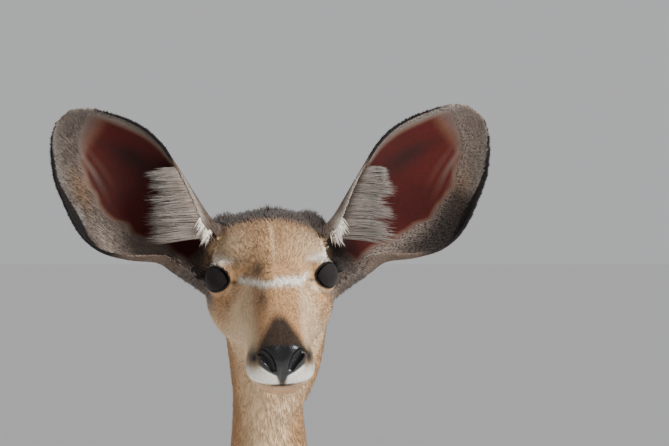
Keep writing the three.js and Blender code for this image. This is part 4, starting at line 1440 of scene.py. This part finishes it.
# %% Unrolling the skin
def unrolled(points, region):
    """Two coordinates in millimetres for each point, by the region that it lies in."""
    chart = np.zeros((len(points), 2))
    x, y, z = points.T

    def tube_chart(chosen, right, up, along, gap):
        turn = np.arctan2(right[chosen], up[chosen])
        chart[chosen] = np.stack([turn * gap, along[chosen]], -1)

    trunk_middle = np.interp(y, [-566, -330, 70, 340, 610], [925, 940, 932, 973, 1004])
    tube_chart(region == ON_TRUNK, x, z - trunk_middle, y, 190)
    neck_along = (points - [0, -317, 990]) @ np.array([0, -0.544, 0.839])
    neck_up = (points - [0, -317, 990]) @ np.array([0, 0.839, 0.544])
    neck_bow = np.interp(neck_along, [0, 250, 400, 660], [0, -14, -18, 0])
    tube_chart(region == ON_NECK, x, neck_up - neck_bow, neck_along, 90)
    local = to_head(points)
    tube_chart(region == ON_HEAD, local[:, 0], local[:, 2] + 20, local[:, 1], 60)
    tube_chart(region == ON_DOCK, x, y - 640, z, 20)
    for ear_side, ear in EARS:
        chosen = region == ear
        place, turn, depth = to_ear(ear_side, points)
        flat = np.stack([turn * 80 + np.where(depth > 2.3, 200, 0), place * EAR_LENGTH], -1)
        chart[chosen] = flat[chosen]
    for leg, rows, home, width in ((ON_FORELEG, FORELEG, 0, 34), (ON_HINDLEG, HINDLEG, 1, 40)):
        table = np.array(rows)[::-1]
        middle = np.interp(z, table[:, 0], (table[:, 1] + table[:, 2]) / 2)
        out = np.sign(x) * np.interp(z, table[:, 0], table[:, 4])
        chosen = region == leg
        tube_chart(chosen, x - out, y - middle, z, width)
        chart[chosen, 0] += (np.sign(x[chosen]) + 2 * home) * 130
    return chart


# %% [markdown]
# ## Growing hair
#
# Particle hair is easy to comb, but it is lost when a model is exported, so every tuft here is a solid
# little mesh: a wedge with a flat root, a ridge and one tip. Long hair has more rings between root and tip
# and bends. All tufts of a piece are made at once with NumPy.


# %% Tufts and strands as one mesh
PATCH = 0.003


def column(value, count):
    """One number, or one for each tuft, as a column."""
    return np.broadcast_to(np.asarray(value, float), (count,))[:, None]


def grown(name, roots, up, heading, length, width, thickness, marks, chart, shade,
          rings=1, fall=None, bend=0.0, curl=0.0, paler=0.0):
    """A piece of hair. Every tuft bends towards fall by the angle bend; paler lightens its tip."""
    count = len(roots)
    length, width, thickness, bend = (column(v, count) for v in (length, width, thickness, bend))
    fall = -up if fall is None else fall
    side = unit(np.cross(up, heading))
    shape, centre = [], roots.copy()
    for ring in range(rings + 1):
        t = ring / rings
        course = heading * np.cos(bend * t) + fall * np.sin(bend * t)
        course = unit(course + side * (curl * math.sin(4 * t)))
        if ring:
            centre = centre + course * length / rings
        taper = (1 - t**2.2) * (0.75 + 0.5 * math.sin(math.pi * min(t + 0.15, 1)))
        ridge = unit(np.cross(course, side))
        ridge = ridge * np.sign((ridge * up).sum(1))[:, None]
        if ring == rings:
            shape.append(centre[:, None])
        else:
            edge = side * width / 2 * taper
            shape.append(np.stack([centre + edge, centre - edge, centre + ridge * thickness * taper], 1))
    points = np.concatenate(shape, 1)
    per = points.shape[1]
    faces = [(0, 1, 2)]
    for ring in range(rings - 1):
        for a, b in ((0, 1), (1, 2), (2, 0)):
            low_a, low_b = 3 * ring + a, 3 * ring + b
            faces += [(low_a, low_a + 3, low_b + 3), (low_a, low_b + 3, low_b)]
    last = 3 * (rings - 1)
    faces += [(last + a, per - 1, last + b) for a, b in ((0, 1), (1, 2), (2, 0))]
    triangles = (np.array(faces)[None] + per * np.arange(count)[:, None, None]).reshape(-1, 3)

    mesh = bpy.data.meshes.new(name)
    mesh.vertices.add(count * per)
    mesh.vertices.foreach_set("co", (points * MM + SHIFT).astype(np.float32).ravel())
    mesh.loops.add(triangles.size)
    mesh.loops.foreach_set("vertex_index", triangles.astype(np.int32).ravel())
    mesh.polygons.add(len(triangles))
    mesh.polygons.foreach_set("loop_start", np.arange(0, triangles.size, 3, dtype=np.int32))
    mesh.update(calc_edges=True)

    low, high = chart.min(0), chart.max(0)
    home = 0.01 + 0.98 * (chart - low) / np.maximum(high - low, 1e-6)
    patch = np.zeros((per, 2))
    for ring in range(rings):
        rise = PATCH * ring / rings
        patch[3 * ring : 3 * ring + 3] = [(-PATCH / 2, rise), (PATCH / 2, rise), (0, rise + PATCH / 10)]
    patch[-1] = (0, PATCH)
    spread = (home[:, None] + patch[None]).reshape(-1, 2)
    bake_map = mesh.uv_layers.new(name="OFBake")
    bake_map.data.foreach_set("uv", spread[triangles.ravel()].astype(np.float32).ravel())

    piece = placed(name, mesh)
    marks = np.repeat(marks, per, 0)
    towards_tip = np.append(np.repeat(np.arange(rings), 3), rings) / rings
    marks[:, MARKS.index("pale")] += paler * np.tile(towards_tip, count)
    paint(piece, marks, np.repeat(shade, per))
    mesh.materials.append(coat)
    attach(piece, "root")
    print(name, ":", count, "tufts,", len(triangles), "triangles")


# %% [markdown]
# ## Short coat
#
# The short coat is sown on the faces of the skin: each face gets tufts in proportion to its area, divided
# by the area that one tuft covers there. Tufts are smallest on the face and the feet. Roots are sown with a
# fixed seed, so the coat is the same every time. Eyes, nose, hooves and the red core of the ears stay bare.

# %% Where tufts grow and how large they are
luck = np.random.default_rng(7)
BARE_FROM = 0.4
skin_mesh.calc_loop_triangles()
skin_triangles = read(skin_mesh.loop_triangles, "vertices", 3, np.int32)


def sizes_of(points, region):
    """Length and width of the tufts in millimetres, and how densely they cover the skin."""
    z = points[:, 2]
    length, width = np.full(len(points), 15.0), np.full(len(points), 3.8)
    cover = np.full(len(points), 1.25)
    neck = region == ON_NECK
    fine = step(z, 1180, 1400)
    length[neck], width[neck] = (15 - 5 * fine)[neck], (3.6 - 2.0 * fine)[neck]
    legs = (region == ON_FORELEG) | (region == ON_HINDLEG)
    high = step(z, 150, 620)
    length[legs], width[legs], cover[legs] = (7 + 6 * high)[legs], (1.9 + 1.6 * high)[legs], 1.0
    head = region == ON_HEAD
    local = to_head(points)
    to_nose = step(-local[:, 1], 20, 200)
    crown = step(local[:, 1], 24, 60) * step(local[:, 2], 0, 24)
    length[head] = (7.5 - 3.5 * to_nose + 7 * crown)[head]
    width[head] = (1.15 - 0.25 * to_nose + 0.35 * crown)[head]
    for side, ear in EARS:
        chosen = region == ear
        place, turn, _ = to_ear(side, points[chosen])
        rim = np.maximum(step(np.abs(turn), 0.8, 0.96), step(place, 0.86, 0.95))
        length[chosen], width[chosen], cover[chosen] = 6.5 - 3.6 * rim, 1.2 - 0.3 * rim, 1.1
    length[region == ON_DOCK], width[region == ON_DOCK] = 22, 3.0
    return length, width, cover


def sown():
    """Random places on the skin's triangles, and which way the skin faces there."""
    corners = skin_points[skin_triangles]
    first_side, second_side = corners[:, 1] - corners[:, 0], corners[:, 2] - corners[:, 0]
    area = np.linalg.norm(np.cross(first_side, second_side), axis=1) / 2
    length, width, cover = sizes_of(corners.mean(1), skin_region[skin_triangles[:, 0]])
    bare = skin_marks[skin_triangles[:, 0], MARKS.index("bare")]
    expected = area * cover / (length * width / 2) * (bare < BARE_FROM)
    whole = np.floor(expected + luck.random(len(expected))).astype(int)
    face = np.repeat(np.arange(len(whole)), whole)
    first, second = luck.random(len(face)), luck.random(len(face))
    flip = first + second > 1
    first[flip], second[flip] = 1 - first[flip], 1 - second[flip]
    share = np.stack([1 - first - second, first, second], -1)[..., None]
    root = (skin_points[skin_triangles[face]] * share).sum(1)
    normal = unit((skin_normals[skin_triangles[face]] * share).sum(1))
    return root, normal


roots, root_normals = sown()
root_region = regions_of(roots)
print("roots:", {name: int((root_region == k).sum()) for k, name in enumerate(REGIONS)})

# %% Leaving the openings free of hair
local = to_head(roots)
free = np.ones(len(roots), bool)
rust = marks_of(roots, root_normals, root_region)[:, MARKS.index("rust")]
for side, ear in EARS:
    distance, edge, _, _ = eye_distance(local, side)
    free &= (distance > EYE_RADIUS + 2.4) & ((edge > 1.08) | (distance > 34))
    _, _, depth = to_ear(side, roots)
    free &= ~((root_region == ear) & (depth > 1.8) & (rust > BARE_FROM))
for _, _, x, y in feet:
    free &= ~at_foot(roots, x, y) | (above_coronet(roots, y) > 1)
roots, root_normals, root_region = roots[free], root_normals[free], root_region[free]
print("kept roots:", len(roots))

# %% Sowing the short coat, piece by piece
TUFTS = {
    # How steeply tufts stand in degrees, how much their shades differ, their thickness as a share of their
    # width, and how deep they root in millimetres.
    "trunk": (9, 0.17, 0.32, 0.3),
    "neck": (8, 0.17, 0.32, 0.3),
    "head": (7, 0.07, 0.22, 0.3),
    "ear_left": (4, 0.05, 0.16, 0.05),
    "ear_right": (4, 0.05, 0.16, 0.05),
    "foreleg": (8, 0.17, 0.32, 0.3),
    "hindleg": (8, 0.17, 0.32, 0.3),
    "dock": (14, 0.17, 0.32, 0.3),
}


def lucky(mean, spread, count):
    """Random shares between 0 and 1, round a mean."""
    return np.clip(luck.normal(mean, spread, count), 0, 1)


def sow(name, chosen):
    """Tufts on the chosen roots. Each lies along the coat, a little turned and lifted by chance."""
    root, normal, region = roots[chosen], root_normals[chosen], root_region[chosen]
    count = len(root)
    length, width, _ = sizes_of(root, region)
    length = length * (0.75 + 0.5 * luck.random(count))
    lie = lie_of(root, normal, region)
    swing = luck.normal(0, 0.16, count)[:, None]
    lie = unit(lie * np.cos(swing) + np.cross(normal, lie) * np.sin(swing))
    steep, differing, thick, deep = np.array([TUFTS[kind] for kind in REGIONS])[region].T
    lift = steep * (0.6 + 0.8 * luck.random(count))
    local = to_head(root)
    crown = step(local[:, 1], 30, 66) * step(local[:, 2], 6, 28) * (region == ON_HEAD)
    lift = np.radians(lift + 14 * crown)[:, None]
    heading = lie * np.cos(lift) + normal * np.sin(lift)
    marks = marks_of(root + lie * (length / 2)[:, None], normal, region)
    chart = unrolled(root, region)
    shade = lucky(0.5, differing, count)
    sunk = root - normal * deep[:, None]
    grown(name, sunk, normal, heading, length, width, width * thick, marks, chart, shade)


left_of_face, left_of_trunk = to_head(roots)[:, 0] > 0, roots[:, 0] > 0
COAT_PIECES = {
    "coat_head_left": (root_region == ON_HEAD) & left_of_face,
    "coat_head_right": (root_region == ON_HEAD) & ~left_of_face,
    "coat_ear_left": root_region == ON_LEFT_EAR,
    "coat_ear_right": root_region == ON_RIGHT_EAR,
    "coat_neck": root_region == ON_NECK,
    "coat_trunk_left": (root_region == ON_TRUNK) & left_of_trunk,
    "coat_trunk_right": (root_region == ON_TRUNK) & ~left_of_trunk,
    "coat_forelegs": root_region == ON_FORELEG,
    "coat_hindlegs": root_region == ON_HINDLEG,
    "coat_dock": root_region == ON_DOCK,
}
for name, chosen in COAT_PIECES.items():
    sow(name, chosen)

# %% [markdown]
# ## Mane, crest and crown
#
# A cow has no beard, but a short dark mane stands along the nape, runs out over the withers and back, and
# starts with a small tuft between the ears. Its hairs root along the ridge in the side view, stand up and
# lean back.


# %% Long hair along a line of the side view
def plain_marks(count, **masks):
    """Masks of hair that isn't sown on the skin: one value for all, or one for each hair."""
    marks = np.zeros((count, len(MARKS)))
    for name, values in masks.items():
        marks[:, MARKS.index(name)] = values
    return marks


def standing_hair(name, line, count, length, lean, spread, dark, width):
    """length and lean, in radians, are given at the start, middle and end of the line."""
    line = np.array(line, float)
    knots = np.append(0, np.cumsum(np.linalg.norm(np.diff(line, axis=0), axis=1)))
    share = np.sort(luck.random(count))
    at = between(line, knots, share * knots[-1])
    ahead = between(line, knots, np.minimum(share + 0.02, 1) * knots[-1])
    behind = between(line, knots, np.maximum(share - 0.02, 0) * knots[-1])
    course = unit(ahead - behind)
    fall = np.stack([np.zeros(count), course[:, 0], course[:, 1]], -1)
    up = np.stack([np.zeros(count), -course[:, 1], course[:, 0]], -1)
    up *= np.sign(up[:, 2:])
    aside = luck.normal(0, spread, count)
    root = np.stack([aside, at[:, 0], at[:, 1]], -1) - up * (5 + aside**2 / 70)[:, None]
    tilt = (np.interp(share, [0, 0.5, 1], lean) + luck.normal(0, 0.13, count))[:, None]
    heading = up * np.cos(tilt) + fall * np.sin(tilt)
    heading[:, 0] += luck.normal(0, 0.12, count) + aside * 0.018
    heading = unit(heading)
    reach = np.interp(share, [0, 0.5, 1], length) * (0.7 + 0.45 * luck.random(count)) + 5
    marks = plain_marks(count, dark=lucky(dark, 0.16, count))
    chart = np.stack([aside * 8, at[:, 0]], -1)
    shade = lucky(0.5, 0.22, count)
    bend = 0.35 + 0.25 * luck.random(count)
    grown(name, root, up, heading, reach, width, 0.7, marks, chart, shade, 3, fall, bend, curl=0.1)


NAPE_LINE = [(-604, 1570), (-566, 1514), (-520, 1446), (-466, 1370), (-402, 1288), (-352, 1240)]
BACK_LINE = [(-348, 1224), (-318, 1209), (-215, 1203), (-80, 1184), (70, 1174), (200, 1179), (330, 1182)]
CROWN_LINE = [(-702, 1616), (-640, 1609)]
LONG_HAIR = [
    # Piece, line, hairs, length, lean, spread to the sides, darkness and width.
    ("mane", NAPE_LINE, 2600, (40, 54, 42), (0.5, 0.6, 0.8), 7, 0.85, 1.5),
    ("crest", BACK_LINE, 2200, (38, 28, 14), (0.85, 1.0, 1.2), 7, 0.7, 1.5),
    ("crown_tuft", CROWN_LINE, 900, (18, 22, 20), (0.2, 0.3, 0.42), 11, 0.9, 1.2),
]
for row in LONG_HAIR:
    standing_hair(*row)

# %% [markdown]
# ## Tail
#
# The tail hangs to just above the hocks. Its long hair leaves the dock on all sides and falls: brown
# above, white at the sides and below, and black at the end.

# %% The brush of the tail
STRANDS, DOCK_TOP, DOCK_LENGTH = 2400, 1000, 286
share = np.sort(luck.random(STRANDS)) ** 0.9
turn = luck.random(STRANDS) * 2 * np.pi
out = np.stack([np.cos(turn), np.sin(turn), 0 * turn], -1)
dock_width = np.interp(share, [0, 1], [15, 7])
middle = np.stack([0 * share, 656 - 2 * share, DOCK_TOP - DOCK_LENGTH * share], -1)
root = middle + out * dock_width[:, None]
down = np.array([0, 0, -1.0])
heading = unit(out * (0.38 + 0.1 * luck.random(STRANDS))[:, None] + down)
fall = unit(down - heading * (heading @ down)[:, None])
tip_black = step(share, 0.62, 0.78) > luck.random(STRANDS)
under = (out[:, 1] < 0.35) & ~tip_black
dark = np.where(tip_black, 1.0, np.where(under, 0.0, 0.25))
marks = plain_marks(STRANDS, dark=dark, pale=np.where(under, 0.9, 0.0))
length = (88 + 30 * luck.random(STRANDS)) * (0.8 + 0.5 * np.sin(np.pi * share))
chart = np.stack([turn * 20, root[:, 2]], -1)
shade = lucky(0.5, 0.2, STRANDS)
grown("tail_brush", root, out, heading, length, 2.0, 0.9, marks, chart, shade, 4, fall, 0.42, curl=0.08)

# %% [markdown]
# ## Fringe of the ears
#
# Long grey hair springs from the inner rim of each ear and reaches level across the cup, however the ear is
# held. The hairs gather in narrow locks whose pale tips part, which shows as fine dark gaps. They are
# shorter towards the tip of the ear.

# %% Hair in the ears
FRINGE_HAIRS, FRINGE_LOCKS, FRINGE_SPAN = 2300, 30, 0.385
FRINGE_LONGEST, FRINGE_SHORTER = 68, 34


def fringe(side, name):
    """Level hair from the inner rim of an ear, in locks whose tips draw together."""
    _, along, _, back = ear_axes(side)
    lock = luck.integers(0, FRINGE_LOCKS, FRINGE_HAIRS)
    lock_share = (lock + 0.5) / FRINGE_LOCKS
    off_lock = luck.random(FRINGE_HAIRS) - 0.5
    share = np.clip(lock_share + 1.6 * off_lock / FRINGE_LOCKS, 0, 1)
    place = 0.01 + FRINGE_SPAN * share
    turn = -0.98 + 0.24 * luck.random(FRINGE_HAIRS) ** 1.5
    root = ear_point(side, place, turn, np.full(FRINGE_HAIRS, 3.6))
    length = (FRINGE_LONGEST - FRINGE_SHORTER * lock_share) * (0.66 + 0.4 * luck.random(FRINGE_HAIRS))
    length *= 0.76 + 0.42 * luck.random(FRINGE_LOCKS)[lock]
    gather = -off_lock * EAR_LENGTH * FRINGE_SPAN * 0.9 / FRINGE_LOCKS / length
    slope = gather + luck.normal(0, 0.03, FRINGE_HAIRS) + luck.uniform(-0.07, 0.07, FRINGE_LOCKS)[lock]
    level = np.array([side, 0.0, 0.0])
    inwards = back * (0.12 + 0.1 * luck.random(FRINGE_HAIRS))[:, None]
    heading = unit(level + [0, 0, 1] * slope[:, None] + inwards)
    up = np.broadcast_to(-back, heading.shape)
    pale = lucky(0.06, 0.06, FRINGE_HAIRS)
    # The left ear's fringe is painted much darker than the right one's, as painted shade.
    marks = plain_marks(FRINGE_HAIRS, grey=0.95, dark=0.5 if side > 0 else 0.1, pale=pale)
    chart = np.stack([turn * 80, place * EAR_LENGTH], -1)
    shade = lucky(0.55, 0.2, FRINGE_HAIRS)
    bend = luck.normal(0.05, 0.09, FRINGE_HAIRS)
    fall = -along + 0 * heading
    rings, curl, paler = 4, 0.05, 0.35
    grown(name, root, up, heading, length, 0.95, 0.5, marks, chart, shade, rings, fall, bend, curl, paler)


for side, name in SIDES:
    fringe(side, f"fringe_{name}")


# %% White tufts at the foot of the ears
def notch_tuft(side, name, count=260):
    """Short white hair that hangs from the lowest part of the inner rim."""
    back = ear_axes(side)[3]
    place = 0.02 + 0.1 * luck.random(count)
    turn = -0.99 + 0.16 * luck.random(count)
    root = ear_point(side, place, turn, np.full(count, 2.5))
    swing = luck.normal(0, 0.16, (count, 3))
    heading = unit(np.array([side * 0.42, -0.35, -1.0]) + swing)
    up = np.broadcast_to(-back, heading.shape)
    up = unit(up - heading * (up * heading).sum(1)[:, None])
    marks = plain_marks(count, pale=0.85)
    chart = np.stack([turn * 80, place * EAR_LENGTH], -1)
    length, shade = 11 + 9 * luck.random(count), lucky(0.6, 0.15, count)
    grown(name, root, up, heading, length, 0.9, 0.5, marks, chart, shade, 3, bend=0.2)


for side, name in SIDES:
    notch_tuft(side, f"notch_tuft_{name}")

# %% [markdown]
# ## Eyes and lashes
#
# An antelope's eye is a large dark ball. Seen close, a brown iris surrounds a wide, lying pupil, and a clear
# cornea bulges over both. The ball is turned on its own axis, so that rings round the gaze carry the
# colours. Black lashes stand on the upper lid.


# %% The eyeballs
# The cornea's height in millimetres, and angles from the gaze in radians or shares of the ball's radius.
CORNEA_HEIGHT, CORNEA_ANGLE = 1.0, 0.5
PUPIL_WIDE, PUPIL_TALL, PUPIL_TILT = 0.38, 0.2, 0.15


def eye_finish(sheet):
    pupil, angle = attribute(sheet, "pupil"), attribute(sheet, "angle")
    fibre = noise(sheet, 900.0, 2.0, place_wire(sheet))
    inside = (1 - (pupil - 0.9) * 8).clamped()
    white = ((angle - 0.74) * 14).clamped()
    iris = fibre.mix(rgb(3, 2, 2), rgb(7, 4, 3))
    colour = inside.mix(iris, rgb(1, 1, 1))
    return {"Base Color": white.mix(colour, rgb(4, 3, 3))}


eye_look = finish("eye", eye_finish, Roughness=0.1, IOR=1.08)


def eye_piece(side, name):
    """A ball with a bulging cornea. Its points know how far they lie from the gaze and the pupil."""
    gaze, slit, rise = eye_axes(side)
    angle = np.linspace(0.02, np.pi - 0.02, 70)[:, None]
    turn = 2 * np.pi * np.arange(72)[None] / 72
    radius = EYE_RADIUS - 0.2 + CORNEA_HEIGHT * np.exp(-((angle / CORNEA_ANGLE) ** 4))
    ahead, away = np.cos(angle) + 0 * turn, np.sin(angle)
    across, high = away * np.cos(turn), away * np.sin(turn)
    shell = gaze * ahead[..., None] + slit * across[..., None] + rise * high[..., None]
    local = shell * radius[..., None] + [side * EYE_OUT, 0, 0]
    piece = new_piece(name, [in_head(closed(local))])
    piece.data.shade_smooth()
    level = slit * math.cos(PUPIL_TILT) - rise * math.sin(PUPIL_TILT)
    tall = np.cross(gaze, level)
    wide_share, tall_share = (shell @ level).ravel() / PUPIL_WIDE, (shell @ tall).ravel() / PUPIL_TALL
    store(piece, "pupil", np.hypot(wide_share, tall_share))
    store(piece, "angle", angle + 0 * turn)
    piece.data.materials.append(eye_look)
    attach(piece, "root")
    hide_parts(name.replace("ball", "eye"))


for side, name in SIDES:
    eye_piece(side, f"ball_{name}")


# %% Lashes on the upper lids
def lashes(side, name, count=110):
    """Lashes stand on the edge of the slit, longer towards its outer end, and curve up and back."""
    gaze, slit, rise = eye_axes(side)
    angle = np.pi * (0.04 + 0.98 * luck.random(count))
    long = SLIT_LONG * np.cos(angle)
    high = SLIT_HIGH * np.abs(np.sin(angle)) ** 1.3
    root = unit(gaze + slit * long[:, None] + rise * (high + 0.02)[:, None]) * (LID_RADIUS - 0.9)
    outwards = unit(root)
    heading = unit(outwards + rise * 0.25 - slit * 0.35 + luck.normal(0, 0.09, (count, 3)))
    up = np.broadcast_to(rise, heading.shape)
    centre = [side * EYE_OUT, 0, 0]
    marks = plain_marks(count, dark=1)
    length = (7 + 4 * step(-long, -0.6, 1.0)) * (0.8 + 0.4 * luck.random(count))
    fall = np.broadcast_to(unit(rise * 0.4 - slit * 0.9), heading.shape)
    up, heading, fall = (vectors @ HEAD_TURN.T for vectors in (up, heading, fall))
    chart, shade = np.stack([angle, root[:, 2]], -1), np.full(count, 0.1)
    root = from_head(root + centre)
    grown(name, root, up, heading, length, 0.55, 0.4, marks, chart, shade, 3, fall, 0.5)


for side, name in SIDES:
    lashes(side, f"lashes_{name}")

# %% [markdown]
# ## Hooves and dewclaws
#
# A foot stands on two claws of dark horn, longer than they are high, with a flat sole. Horn grows down
# from the coronet, so fine rings run round it. Behind the pastern sit two small dewclaws.

# %% Horn
CLAW_LENGTH, CLAW_WIDTH, CLEFT = 74, 24.5, 3
HEEL = {"front": -318, "hind": 542}
DEWCLAW_APART, DEWCLAW_HEIGHT, DEWCLAW_RADII = 10.5, 105, (5.2, 8.2, 10.5)


def horn_finish(sheet):
    """Dark worn horn with fine rings one above the other."""
    where = place_wire(sheet)
    values = {"Scale": 90.0, "Distortion": 1.5, "Vector": where}
    rings = sheet.node("ShaderNodeTexWave", {"bands_direction": "Z"}, values)
    worn = noise(sheet, 60.0, 4.0, where)
    colour = (worn * 1.8 - 0.4).clamped().mix(rgb(24, 21, 19), rgb(70, 60, 52))
    return {
        "Base Color": colour,
        "Roughness": 0.38 + worn * 0.25,
        "Normal": bump(sheet, rings * 0.5 + worn, 0.3, 0.0008),
    }


horn = finish("horn", horn_finish)


def claw_body(x, foot_y, inward):
    """One half of a hoof: round behind, pointed in front, and cut off along the coronet."""
    levels = [
        # Share of the height, how far back its middle is, half its length and half its width.
        [0, 0, CLAW_LENGTH / 2 - 1.2, CLAW_WIDTH / 2 - 1.0],
        [0.03, 0.1, CLAW_LENGTH / 2, CLAW_WIDTH / 2],
        [0.16, 0.5, CLAW_LENGTH / 2 + 0.4, CLAW_WIDTH / 2 + 0.3],
        [0.6, 7, CLAW_LENGTH / 2 - 5.5, CLAW_WIDTH / 2 - 0.4],
        [1.25, 18, CLAW_LENGTH / 2 - 13, CLAW_WIDTH / 2 - 1.6],
    ]
    knots = np.array([row[0] for row in levels], float)
    heights = np.append([0, 0.015], np.linspace(0.03, 1.25, 40))
    share, back, long, half = between(levels, knots, heights).T[..., None]
    angle = 2 * np.pi * np.arange(56)[None] / 56
    front = np.maximum(np.cos(angle), 0)
    wide = half * powered(np.sin(angle), 2.6) * (1 - 0.42 * front**2)
    wide = np.where(wide * inward > 0, wide * 0.94, wide)
    y = foot_y + back - long * powered(np.cos(angle), 2.3)
    z = share * CORONET_HEIGHT + 0 * y
    z = np.minimum(z, CORONET_HEIGHT + CORONET_SLOPE * (y - foot_y) - 0.4)
    return closed(np.stack([x + wide, y, z], -1))


for end, name, x, y in feet:
    claws = [claw_body(x - inward * (CLAW_WIDTH + CLEFT) / 2, y, inward) for inward in (1, -1)]
    behind = HEEL[end] + STRIDES[name] * 0.9 + 1.5
    dewclaws = [
        ball((x + turn * DEWCLAW_APART, behind, DEWCLAW_HEIGHT), DEWCLAW_RADII) for turn in (-1, 1)
    ]
    piece = new_piece(f"hoof_{name}", claws + dewclaws)
    piece.data.shade_smooth()
    piece.data.materials.append(horn)
    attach(piece, "root")
    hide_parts(f"claw_{name}_inner", f"claw_{name}_outer")
print("hooves:", len(feet))

# %% [markdown]
# ## The skin in place of the solids
#
# The skin stands for every solid of flesh. The size of the solids is printed at the end. The coat may
# stand only a little proud of the solids.

# %% The skin replaces the flesh
FLESH = ["head", "neck", "torso", "tail", "ear_left", "ear_right"]
FLESH += [f"{part}_{name}" for part in ("leg", "shank") for name in STRIDES]
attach(skin, "root")
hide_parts(*FLESH)
triangles = sum(len(face.vertices) - 2 for face in skin_mesh.polygons)
print("skin triangles:", triangles)

# %% Sizes
print("solids:", [round(v, 4) for v in (*cad_box[0], *cad_box[1])])
